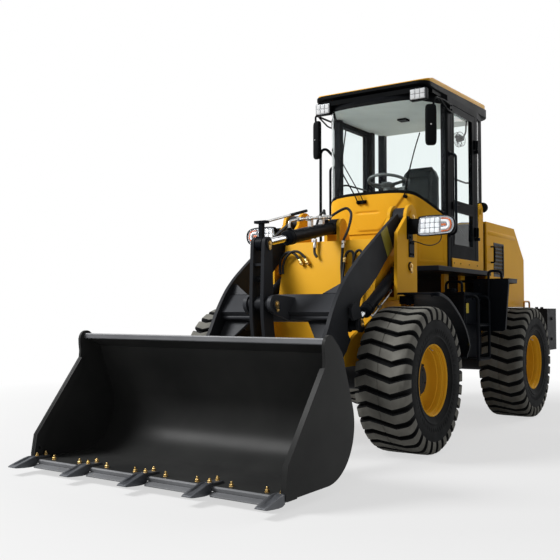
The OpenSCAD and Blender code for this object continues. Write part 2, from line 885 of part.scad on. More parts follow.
module rear_windows() {
    color(glass) {
        block([cab_rear_x, -half_rear + pillar_t, back_panel_z],
            [cab_rear_x + glass_t, half_rear - pillar_t, roof_z]);
        both_sides() translate([0, 0, back_panel_z])
            linear_extrude(roof_z - back_panel_z)
                polygon([
                    [cab_rear_x + pillar_t, half_rear], [pillar_rear_x - pillar_t, half_cab],
                    [pillar_rear_x - pillar_t, half_cab - glass_t],
                    [cab_rear_x + pillar_t, half_rear - glass_t]]);
    }
}

seat_x = front_x - seat_back;
seat_base_w = 340;
backrest_t = 140;

module operator_seat() {
    color(rubber) {
        block([seat_x - seat_base_w / 2, -seat_base_w / 2, floor_top_z],
            [seat_x + seat_base_w / 2, seat_base_w / 2, seat_z - seat_t]);
        block([seat_x - seat_cushion_l / 2, -seat_cushion_w / 2, seat_z - seat_t],
            [seat_x + seat_cushion_l / 2, seat_cushion_w / 2, seat_z]);
        block([seat_x - seat_cushion_l / 2, -seat_cushion_w / 2, seat_z - seat_t],
            [seat_x - seat_cushion_l / 2 + backrest_t, seat_cushion_w / 2, seat_z + backrest_h]);
    }
}

wheel_shares = [[0.5, 0.2], [0.2, 0.5], [-0.2, 0.5], [-0.5, 0.2], [-0.5, -0.2], [-0.2, -0.5],
    [0.2, -0.5], [0.5, -0.2]];

spoke_count = 3;
column_l = 560;
pedestal_l = 200;
pedestal_w = 220;
pedestal_h = 340;

module steering_column() {
    x = front_x - wheel_back;
    ring_r = wheel_d / 2 - wheel_rim_d / 2;
    foot_x = x + column_l * sin(column_lean);
    color(rubber) {
        translate([x, 0, wheel_z])
            rotate([0, -column_lean, 0]) {
                rotate_extrude() polygon([for (s = wheel_shares) [ring_r, 0] + s * wheel_rim_d]);
                for (i = [0 : spoke_count - 1])
                    rotate([0, 0, 90 + i * 360 / spoke_count])
                        translate([column_d / 4, -wheel_rim_d / 2, -wheel_rim_d / 3])
                            cube([ring_r - column_d / 4, wheel_rim_d, wheel_rim_d / 2]);
                translate([0, 0, -column_l]) cylinder(h = column_l + wheel_rim_d / 2, d = column_d);
            }
        block([foot_x - pedestal_l / 2, -pedestal_w / 2, floor_top_z],
            [foot_x + pedestal_l / 2, pedestal_w / 2, floor_top_z + pedestal_h]);
    }
}

console_l = 520;

module side_console() {
    y0 = -seat_cushion_w / 2 - eye_clear - console_w;
    color(rubber)
        block([seat_x - console_l / 2, y0, floor_top_z],
            [seat_x + console_l / 2, y0 + console_w, floor_top_z + console_h]);
}

work_gap = 12;
work_foot_w = 44;

module work_lights() {
    x = roof_front_x - work_gap;
    color(black) both_sides() {
        block([x - work_l, work_y - work_w / 2, visor_z - work_gap - work_h],
            [x, work_y + work_w / 2, visor_z - work_gap]);
        block([x - work_l, work_y - work_foot_w / 2, visor_z - 2 * work_gap],
            [x - work_l / 2, work_y + work_foot_w / 2, visor_z]);
    }
}

mirror_x = front_x - mirror_back;
mirror_arm_drop = 45;

module mirrors() {
    root = [pillar_front_x + pillar_t / 2, roof_z - mirror_arm_drop];
    tube_y = half_cab + seat_clear + tube_d / 2;
    color(black) both_sides() {
        // Stub on the door pillar, arm ahead of it and drop to the housing
        bar_y(root, half_cab + seat_clear, tube_y, tube_d);
        translate([root.x, tube_y, root.y]) rotate([0, 90, 0]) cylinder(h = mirror_x - root.x, d = tube_d);
        translate([mirror_x, tube_y, mirror_z]) cylinder(h = root.y + tube_d / 2 - mirror_z, d = tube_d);
        block([mirror_x - mirror_t / 2, mirror_y - mirror_w / 2, mirror_z - mirror_h / 2],
            [mirror_x + mirror_t / 2, mirror_y + mirror_w / 2, mirror_z + mirror_h / 2]);
    }
}

// Doors
door_front_x = pillar_front_x - door_gap;
door_rear_x = pillar_rear_x + door_gap;
door_low_z = sill_z + door_gap;
door_top_z = roof_z - door_gap;
door_axis = [pillar_rear_x, half_cab + door_hinge_d / 2 + eye_clear];
hinge_h = 90;
bracket_h = 30;
hinge_low_z = 1780;
hinge_high_z = 2640;

// Lower and upper window of a door
door_panes = [[door_low_z + door_rail_h, door_mid_z], [door_mid_z + door_mid_h, door_top_z - door_bar]];

module door() {
    difference() {
        union() {
            difference() {
                block([door_rear_x, half_cab - door_t, door_low_z], [door_front_x, half_cab, door_top_z]);
                for (w = door_panes) block([door_rear_x + door_bar, half_cab - 2 * door_t, w.x],
                    [door_front_x - door_bar, half_cab + door_t, w.y]);
            }
            for (z = [hinge_low_z, hinge_high_z]) {
                translate([door_axis.x, door_axis.y, z + eye_clear]) cylinder(h = hinge_h, d = door_hinge_d);
                block([door_axis.x, half_cab + eye_clear, z + eye_clear],
                    [door_rear_x + door_bar / 2, door_axis.y, z + eye_clear + hinge_h]);
                block([door_rear_x, half_cab - door_t / 2, z + eye_clear],
                    [door_rear_x + door_bar / 2, door_axis.y, z + eye_clear + hinge_h]);
            }
        }
        for (z = [hinge_low_z, hinge_high_z])
            translate([door_axis.x, door_axis.y, z - eye_clear])
                cylinder(h = hinge_h + 3 * eye_clear, d = door_hinge_d / 2 + 2 * hinge_clear);
    }
}

module door_glass() {
    for (w = door_panes) block([door_rear_x + door_bar, half_cab - door_t / 2 - glass_t / 2, w.x],
        [door_front_x - door_bar, half_cab - door_t / 2 + glass_t / 2, w.y]);
}

module left_door() {
    color(black) door();
}

module left_door_glass() {
    color(glass) door_glass();
}

module right_door() {
    color(black) mirror([0, 1, 0]) door();
}

module right_door_glass() {
    color(glass) mirror([0, 1, 0]) door_glass();
}

// Steering cylinders, drawn on the left
steer_base = [pivot_x - steer_base_back, steer_base_y];
steer_eye = [pivot_x + steer_eye_ahead, steer_eye_y];
steer_l = norm(steer_eye - steer_base);
steer_neck_l = steer_eye_d / 2 + 2 * eye_clear;

module along_steer() {
    translate([steer_base.x, steer_base.y, steer_z])
        rotate([0, 0, atan2(steer_eye.y - steer_base.y, steer_eye.x - steer_base.x)])
            children();
}

module steer_barrel() {
    difference() {
        union() {
            translate([0, 0, -steer_eye_w / 2]) cylinder(h = steer_eye_w, d = steer_eye_d);
            block([0, -neck_share * steer_d / 2, -neck_share * steer_eye_w / 2],
                [steer_neck_l + steer_d / 2, neck_share * steer_d / 2, neck_share * steer_eye_w / 2]);
            translate([steer_neck_l, 0, 0]) rotate([0, 90, 0])
                cylinder(h = steer_barrel_l - steer_neck_l, d = steer_d);
        }
        translate([0, 0, -steer_d]) cylinder(h = 2 * steer_d, d = steer_pin_d + 2 * pin_clear);
        translate([steer_eye_d, 0, 0]) rotate([0, 90, 0])
            cylinder(h = steer_barrel_l, d = steer_rod_d + 2 * pin_clear);
    }
}

steer_stroke_room = 240;

module steer_rod() {
    difference() {
        union() {
            translate([steer_eye_d + steer_stroke_room, 0, 0]) rotate([0, 90, 0])
                cylinder(h = steer_l - steer_eye_d - steer_stroke_room, d = steer_rod_d);
            translate([steer_l, 0, -steer_eye_w / 2]) cylinder(h = steer_eye_w, d = steer_eye_d);
        }
        translate([steer_l, 0, -steer_d]) cylinder(h = 2 * steer_d, d = steer_pin_d + 2 * pin_clear);
    }
}

module steer_barrel_left() {
    color(black) along_steer() steer_barrel();
}

module steer_rod_left() {
    color(steel) along_steer() steer_rod();
}

module steer_barrel_right() {
    color(black) mirror([0, 1, 0]) along_steer() steer_barrel();
}

module steer_rod_right() {
    color(steel) mirror([0, 1, 0]) along_steer() steer_rod();
}

// Half width of a lug plate as a share of its boss
lug_share = 0.48;

// Front frame
tower_x0 = front_x - tower_back;
foot_x = front_x + foot_ahead;
inner_shares = [[0, 1], [0.204, 1], [0.388, 0.8645], [0.551, 0.3956], [0.837, 0.3], [1, 0.227]];
outer_shares = [[0, 1], [0.204, 1], [0.378, 0.894], [0.388, 0.8]];
outer_foot_share = [0.388, 0];
deck_share = [0.38, 0];
foot_back_share = 0.275;
face_shares = [[0.388, 0.8645], [0.551, 0.3956], [0.602, 0.249]];
pin_cap_d = 120;
pin_cap_t = 14;
tilt_eye_w = 80;
tilt_eye_d = 130;
tilt_ear_y = tilt_eye_w / 2 + eye_clear;

tower_low_z = yoke_low_z - yoke_gap;
mid_in = inner_y + tower_t / 2;
mid_out = outer_y + tower_t / 2;

function tower_pt(s) = in_box(s, tower_x0, foot_x, tower_low_z, boom_pin_z);

tower_top_z = tower_pt(face_shares[0]).y;

module tower_plates() {
    slab(inner_y, tower_t)
        polygon(concat([for (s = inner_shares) tower_pt(s)],
            [[foot_x, rail_z], [tower_pt([foot_back_share, 0]).x, rail_z],
                tower_pt([foot_back_share / 2, 0]), tower_pt([0, 0])]));
    slab(outer_y, tower_t)
        polygon(concat([for (s = outer_shares) tower_pt(s)],
            [[tower_pt(outer_foot_share).x, outer_plate_z], [tower_x0, outer_plate_z]]));
    bar_y(boom_pin, inner_y, inner_y + tower_t, 2 * tower_ear_r);
    bar_y(boom_pin, outer_y, outer_y + tower_t, 2 * tower_ear_r);
    block([tower_x0, mid_in, outer_plate_z], [tower_pt(outer_foot_share).x, mid_out, outer_plate_z + web_t]);
    block([tower_x0, mid_in, outer_plate_z], [tower_x0 + web_t, mid_out, lift_base_z + tower_ear_r]);
    bar_y(boom_pin, mid_in, mid_out, big_pin_d);
    bar_y(boom_pin, mid_out, outer_y + tower_t + pin_cap_t, pin_cap_d);
    bar_y(lift_base, mid_in, outer_y + tower_t + pin_cap_t, pin_d);
}

// One articulation plate of the front frame
module yoke_plate(z) {
    difference() {
        translate([0, 0, z])
            linear_extrude(yoke_t)
                union() {
                    translate([pivot_x, 0]) circle(r = yoke_r);
                    polygon([
                        [pivot_x, lug_share * 2 * yoke_r], [tower_x0, mid_in],
                        [tower_x0 + yoke_r, mid_in], [tower_x0 + yoke_r, -mid_in],
                        [tower_x0, -mid_in], [pivot_x, -lug_share * 2 * yoke_r]]);
                }
        translate([pivot_x, 0, z - overrun])
            cylinder(h = yoke_t + 2 * overrun, d = yoke_pin_d + 2 * pin_clear);
    }
}

module front_frame() {
    color(yellow) {
        both_sides() tower_plates();
        // Sloping face between the towers
        slab(-mid_in, 2 * mid_in)
            polygon(concat([for (s = face_shares) tower_pt(s)],
                [for (i = [2, 1, 0]) tower_pt(face_shares[i]) - [web_t, 0]]));
        block([tower_x0 + web_t / 2, -mid_in, tower_top_z - web_t],
            [tower_pt(deck_share).x, mid_in, tower_top_z]);
        block([tower_x0 + web_t / 4, -mid_in, yoke_low_z + yoke_t / 2],
            [tower_x0 + web_t, mid_in, tower_top_z - web_t / 2]);
        yoke_plate(yoke_high_z);
        yoke_plate(yoke_low_z);
        // Ears and pin of the tilt cylinder
        both_sides() slab(tilt_ear_y, bracket_t)
            union() {
                translate(tilt_base) circle(d = tilt_eye_d);
                polygon([
                    tilt_base + [-lug_share * tilt_eye_d, 0], tilt_base + [lug_share * tilt_eye_d, 0],
                    [tilt_base.x + lug_share * tilt_eye_d, tower_top_z - web_t / 2],
                    [tilt_base.x - tilt_eye_d, tower_top_z - web_t / 2]]);
            }
        bar_y(tilt_base, -tilt_ear_y - bracket_t / 2, tilt_ear_y + bracket_t / 2, pin_d);
        both_sides() flat_lugs(steer_eye.x, steer_eye.y, tower_x0 + web_t / 2);
    }
}

// Front fender outline
fender_x0 = front_x - fender_rear;
fender_x1 = front_x - fender_front;
fender_shares = [[1, 1], [0.86, 0.985], [0.68, 0.92], [0.51, 0.81], [0.33, 0.66], [0.18, 0.496],
    [0.08, 0.3], [0.0155, 0.104], [0, 0]];
fender_foot_share = [0.68, 0];
fender_foot_l = 100;
fender_foot_t = 26;

function fender_pt(s) = in_box(s, fender_x0, fender_x1, fender_z0, fender_z1);
function toward(p, c, t) = p + (c - p) / norm(c - p) * t;

module front_fenders() {
    axle_pt = [front_x, axle_z];
    foot_x0 = fender_pt(fender_foot_share).x;
    top = [for (s = fender_shares) fender_pt(s)];
    n = len(top) - 1;
    color(black) both_sides() {
        slab(fender_in, fender_out - fender_in)
            polygon(concat(top, [for (i = [0 : n]) toward(top[n - i], axle_pt, fender_t)]));
        block([foot_x0, outer_y + tower_t, outer_plate_z],
            [foot_x0 + fender_foot_l, fender_in + fender_t, outer_plate_z + fender_foot_t]);
    }
}

lamp_x = front_x - lamp_back;
lamp_foot = 80;

module headlights() {
    y0 = outer_y + tower_t;
    y1 = y0 + lamp_foot;
    color(black) both_sides() {
        block([lamp_x - lamp_l, y1, lamp_z], [lamp_x, y1 + lamp_w, lamp_z + lamp_h]);
        block([lamp_x - lamp_l, y0, lamp_z], [lamp_x - lamp_l / 2, y1, lamp_z + lamp_foot]);
    }
}

// Boom arms
arm_shares = [[0, 0.036], [0.12, 0.062], [0.2194, 0.0813], [0.33, 0.102], [0.422, 0.1136], [0.47, 0.117],
    [0.5213, 0.1157], [0.57, 0.108], [0.6181, 0.0963], [0.6883, 0.074], [0.76, 0.06], [1, 0.036],
    [1, -0.036], [0.6534, -0.0528], [0.6127, -0.0495], [0.455, 0.003], [0.3035, -0.018],
    [0.2197, -0.0214], [0.1111, -0.0297], [0, -0.036]];
fork_shares = [[0.485, 0.05], [0.565, 0.05], [0.5505, -0.04], [0.504, -0.04]];
fork_bar_share = [0.525, 0.036];
fork_bar_d = 60;
eye_d = 92;
// Free radius around the lift eye, which moves off its pin as the boom rises
lift_eye_room = 80;
lift_eye_w = fork_gap - 2 * eye_clear;
hinge_boss_w = 90;

fork_in = arm_y - fork_gap / 2 - fork_t;

// One plate of the lift cylinder fork
module fork_outline() {
    translate(lift_pin) circle(d = eye_d + fork_t);
    polygon([for (s = fork_shares) on_boom(s)]);
}

module arm() {
    difference() {
        union() {
            slab(arm_y - arm_t / 2, arm_t) polygon([for (s = arm_shares) on_boom(s)]);
            bar_y(boom_pin, arm_y - arm_boss_w / 2, arm_y + arm_boss_w / 2, arm_boss_d);
            bar_y(hinge, arm_y - hinge_boss_w / 2, arm_y + hinge_boss_w / 2, arm_boss_d);
            // Fork for the lift cylinder
            for (y = [fork_in, arm_y + fork_gap / 2]) slab(y, fork_t) fork_outline();
            bar_y(on_boom(fork_bar_share), fork_in, arm_y + fork_gap / 2 + fork_t, fork_bar_d);
        }
        bar_y(boom_pin, arm_y - tower_gap, arm_y + tower_gap, big_pin_d + 2 * pin_clear);
        bar_y(hinge, arm_y - tower_gap, arm_y + tower_gap, big_pin_d + 2 * pin_clear);
        bar_y(lift_pin, arm_y - fork_gap / 2, arm_y + fork_gap / 2, eye_d + 2 * lift_eye_room);
    }
}

module boom_left_arm() {
    color(black) arm();
}

module boom_right_arm() {
    color(black) mirror([0, 1, 0]) arm();
}

beam_shares = [[0.4808, 0.0437], [0.5203, 0.092], [0.5989, 0.0846], [0.606, 0.0509], [0.5537, -0.003]];
bracket_shares = [[0.515, 0.07], [0.615, 0.175], [0.66, 0.135], [0.6, 0.045]];
crank_boss_d = 132;
crank_tube_d = 112;

module boom_cross_beam() {
    beam_y = arm_y - arm_t / 2;
    color(black) {
        difference() {
            slab(-beam_y, 2 * beam_y) polygon([for (s = beam_shares) on_boom(s)]);
            // Room for the lift cylinder forks
            both_sides() {
                slab(fork_in - seat_clear, fork_t + 2 * seat_clear) fork_outline();
                bar_y(on_boom(fork_bar_share), fork_in - seat_clear, arm_y, fork_bar_d + 2 * seat_clear);
                bar_y(lift_pin, fork_in, arm_y, eye_d + 2 * lift_eye_room);
            }
        }
        both_sides() slab(crank_gap, bracket_t)
            union() {
                translate(crank_pin) circle(d = crank_boss_d);
                polygon([for (s = bracket_shares) on_boom(s)]);
            }
        bar_y(crank_pin, -crank_gap - bracket_t - pin_cap_t, crank_gap + bracket_t + pin_cap_t, big_pin_d);
    }
}

// Bell crank with two plates
crank_top_d = 100;
crank_foot_d = 90;
tie_share = 0.6;

module bell_crank() {
    y0 = crank_slot / 2;
    color(black) difference() {
        union() {
            both_sides() slab(y0, crank_t)
                union() {
                    translate(crank_top) circle(d = crank_top_d);
                    translate(crank_pin) circle(d = crank_boss_d);
                    translate(crank_foot) circle(d = crank_foot_d);
                    polygon([
                        crank_top + [-lug_share * crank_top_d, 0],
                        crank_top + [lug_share * crank_top_d, 0],
                        crank_pin + [lug_share * crank_boss_d, 0],
                        crank_foot + [lug_share * crank_foot_d, 0],
                        crank_foot + [-lug_share * crank_foot_d, 0],
                        crank_pin + [-lug_share * crank_boss_d, 0]]);
                }
            bar_y(crank_pin, -crank_gap + eye_clear, crank_gap - eye_clear, crank_tube_d);
            bar_y(crank_pin + tie_share * (crank_top - crank_pin),
                -y0 - crank_t / 2, y0 + crank_t / 2, pin_d);
            bar_y(crank_foot, -y0 - crank_t - pin_cap_t, y0 + crank_t + pin_cap_t, pin_d);
        }
        bar_y(crank_pin, -crank_gap, crank_gap, big_pin_d + 2 * pin_clear);
    }
}

module bucket_link() {
    d = norm(link_pin - crank_foot);
    color(black) along(crank_foot, link_pin, 0) difference() {
        union() {
            bar_y([0, 0], -link_w / 2, link_w / 2, crank_foot_d);
            bar_y([d, 0], -link_w / 2, link_w / 2, crank_foot_d);
            block([0, -link_w / 2, -link_w / 2], [d, link_w / 2, link_w / 2]);
        }
        bar_y([0, 0], -link_w, link_w, pin_d + 2 * pin_clear);
        bar_y([d, 0], -link_w, link_w, pin_d + 2 * pin_clear);
    }
}

// Bucket
bend = [lip_x - bucket_depth + bucket_bend_r, floor_z + bucket_bend_r];
bend_steps = 12;
back_end = 180 - back_lean;
rim_z = floor_z + bucket_h - rim_down;
back_top_z = rim_z - rim_rise;

function back_at(z, t) = let (p = bend + (bucket_bend_r - t) * [cos(back_end), sin(back_end)])
    [p.x + (z - p.y) * tan(back_lean), z];

bucket_outside = concat([[lip_x, floor_z]], arc(bend, bucket_bend_r, -90, back_end - 360, bend_steps),
    [back_at(back_top_z, 0)]);
bucket_inside = concat([back_at(back_top_z, shell_t)],
    arc(bend, bucket_bend_r - shell_t, back_end - 360, -90, bend_steps), [[lip_x, floor_z + shell_t]]);
rim_x = lip_x - rim_back;
ear_rise_share = 1.5;
ear_low_angle = 215;
lug_low_angle = 178;
side_shares = [[1, 0.06], [0.973, 0.207], [0.455, 0.794], [0.402, 1.005]];

module bucket() {
    x0 = lip_x - bucket_depth;
    hook_y = hinge_boss_w / 2 + eye_clear;
    color(iron) {
        slab(-half_bucket, bucket_w)
            polygon(concat(bucket_outside, [[rim_x, rim_z + shell_t], [rim_x, rim_z]], bucket_inside));
        both_sides() slab(half_bucket - side_t, side_t)
            polygon(concat(bucket_outside,
                [for (i = [3, 2, 1, 0]) in_box(side_shares[i], x0, lip_x, floor_z, floor_z + bucket_h)]));
        // Ears on the boom arms with their pins
        both_sides() {
            for (y = [arm_y - hook_y - ear_t, arm_y + hook_y]) slab(y, ear_t)
                union() {
                    translate(hinge) circle(d = arm_boss_d);
                    polygon(concat(
                        [hinge + [0, -arm_boss_d / 2], hinge + [0, arm_boss_d / 2],
                            back_at(hinge_z + ear_rise_share * arm_boss_d, shell_t / 2)],
                        arc(bend, bucket_bend_r - shell_t / 2, back_end, ear_low_angle, bend_steps)));
                }
            bar_y(hinge, arm_y - hook_y - ear_t, arm_y + hook_y + ear_t, big_pin_d);
        }
        // Lugs for the link
        both_sides() slab(link_w / 2 + eye_clear, ear_t)
            union() {
                translate(link_pin) circle(d = crank_foot_d);
                polygon(concat(
                    [link_pin + [0, -crank_foot_d / 2], link_pin + [0, crank_foot_d / 2],
                        back_at(link_pin.y + crank_foot_d, shell_t / 2)],
                    arc(bend, bucket_bend_r - shell_t / 2, back_end, lug_low_angle, bend_steps)));
            }
    }
}

edge_ahead = 60;
tooth_back = 120;

module bucket_edge() {
    pitch = (bucket_w - tooth_w) / (tooth_count - 1);
    color(steel) {
        for (i = [0 : tooth_count - 2]) {
            y = -half_bucket + tooth_w / 2 + i * pitch;
            block([lip_x + edge_ahead - edge_l, y + tooth_w / 2 + seat_clear, floor_z - edge_t],
                [lip_x + edge_ahead, y + pitch - tooth_w / 2 - seat_clear, floor_z]);
        }
        for (i = [0 : tooth_count - 1])
            slab(-half_bucket + i * pitch, tooth_w)
                polygon([
                    [lip_x - tooth_back, floor_z], [lip_x, floor_z],
                    [lip_x + edge_ahead / 2, floor_z + tooth_t - edge_t],
                    [overall_l / 2, floor_z], [overall_l / 2, floor_z - edge_t / 2],
                    [lip_x, floor_z - edge_t], [lip_x - tooth_back, floor_z - edge_t]]);
    }
}

// Lift and tilt cylinders, along X from the base pin, with a neck up to the tube
neck_share = 0.7;

module barrel(l, d, rod_d, base_d, base_w) {
    neck_l = base_d / 2 + 2 * eye_clear;
    difference() {
        union() {
            bar_y([0, 0], -base_w / 2, base_w / 2, base_d);
            block([0, -neck_share * base_w / 2, -neck_share * base_d / 2],
                [neck_l + d / 2, neck_share * base_w / 2, neck_share * base_d / 2]);
            translate([neck_l, 0, 0]) rotate([0, 90, 0]) cylinder(h = l - neck_l, d = d);
        }
        bar_y([0, 0], -base_w, base_w, pin_d + 2 * pin_clear);
        translate([base_d, 0, 0]) rotate([0, 90, 0]) cylinder(h = l, d = rod_d + 2 * pin_clear);
    }
}

module rod(l, start, d, end_d, end_w) {
    difference() {
        union() {
            translate([start, 0, 0]) rotate([0, 90, 0]) cylinder(h = l - start, d = d);
            bar_y([l, 0], -end_w / 2, end_w / 2, end_d);
        }
        bar_y([l, 0], -end_w, end_w, pin_d + 2 * pin_clear);
    }
}

tilt_room = 200;
lift_room = 60;
lift_base_d = 100;
lift_base_w = 90;
tilt_rod_w = 60;

module tilt_barrel() {
    color(black) along(tilt_base, crank_top, 0)
        barrel(tilt_barrel_l, tilt_d, tilt_rod_d, tilt_eye_d, tilt_eye_w);
}

module tilt_rod() {
    color(steel) along(tilt_base, crank_top, 0)
        rod(norm(crank_top - tilt_base), tilt_eye_d + tilt_room, tilt_rod_d, crank_top_d, tilt_rod_w);
}

module lift_barrels() {
    color(black) for (s = [-1, 1]) along(lift_base, lift_pin, s * arm_y)
        barrel(lift_barrel_l, lift_d, lift_rod_d, lift_base_d, lift_base_w);
}

module lift_rods() {
    color(steel) for (s = [-1, 1]) along(lift_base, lift_pin, s * arm_y)
        rod(norm(lift_pin - lift_base), lift_base_d + lift_room, lift_rod_d, eye_d, lift_eye_w);
}

// Wheels
tyre_r = tyre_d / 2;
bead_share = 0.8;
bead_y = bead_share * tyre_w / 2;
tyre_shares = [[0.62, 0.97], [0.76, 1], [0.9, 0.97], [0.97, 0.9], [1, 0.8]];

module turned(x, side) {
    translate([x, side * track / 2, axle_z]) rotate([-side * 90, 0, 0]) rotate_extrude() children();
}

module tyre(x, side) {
    half = [for (s = tyre_shares) [s.x * tyre_r, s.y * tyre_w / 2]];
    n = len(half) - 1;
    color(rubber) turned(x, side)
        polygon(concat([[bead_d / 2, -bead_y], [bead_d / 2, bead_y], [rim_d / 2, bead_y]], half,
            [for (i = [0 : n]) [half[n - i].x, -half[n - i].y]], [[rim_d / 2, -bead_y]]));
}

module rim(x, side) {
    barrel_r = bead_d / 2 - seat_clear;
    lip_y = bead_y + seat_clear;
    bore_r = spindle_d / 2 + pin_clear;
    color(yellow) turned(x, side)
        polygon([
            [bore_r, -disc_t / 2], [barrel_r - rim_t, -disc_t / 2], [barrel_r - rim_t, -lip_y - rim_t],
            [rim_d / 2, -lip_y - rim_t], [rim_d / 2, -lip_y], [barrel_r, -lip_y], [barrel_r, lip_y],
            [rim_d / 2, lip_y], [rim_d / 2, lip_y + rim_t], [barrel_r - rim_t, lip_y + rim_t],
            [barrel_r - rim_t, disc_t / 2], [hub_d / 2, disc_t / 2], [hub_d / 2, hub_out], [0, hub_out],
            [0, hub_out / 2 + pin_clear], [bore_r, hub_out / 2 + pin_clear]]);
}

module front_left_tyre() {
    tyre(front_x, 1);
}

module front_left_rim() {
    rim(front_x, 1);
}

module front_right_tyre() {
    tyre(front_x, -1);
}

module front_right_rim() {
    rim(front_x, -1);
}

module rear_left_tyre() {
    tyre(rear_x, 1);
}

module rear_left_rim() {
    rim(rear_x, 1);
}

module rear_right_tyre() {
    tyre(rear_x, -1);
}

module rear_right_rim() {
    rim(rear_x, -1);
}

rear_frame();
rear_axle();
engine();
counterweight();
side_tanks();
boarding_steps();
rear_fenders();
cab_floor();
cab_frame();
cab_cowl();
cab_back_panel();
cab_roof();
roof_visor();
windshield();
rear_windows();
operator_seat();
steering_column();
side_console();
work_lights();
mirrors();
left_door();
left_door_glass();
right_door();
right_door_glass();
hood();
steer_barrel_left();
steer_rod_left();
steer_barrel_right();
steer_rod_right();
front_frame();
front_axle();
front_fenders();
headlights();
boom_left_arm();
boom_right_arm();
boom_cross_beam();
bell_crank();
bucket_link();
bucket();
bucket_edge();
tilt_barrel();
tilt_rod();
lift_barrels();
lift_rods();
front_left_tyre();
front_left_rim();
front_right_tyre();
front_right_rim();
rear_left_tyre();
rear_left_rim();
rear_right_tyre();
rear_right_rim();
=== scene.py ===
"""Looks of the compact wheel loader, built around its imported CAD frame."""
import json
import math

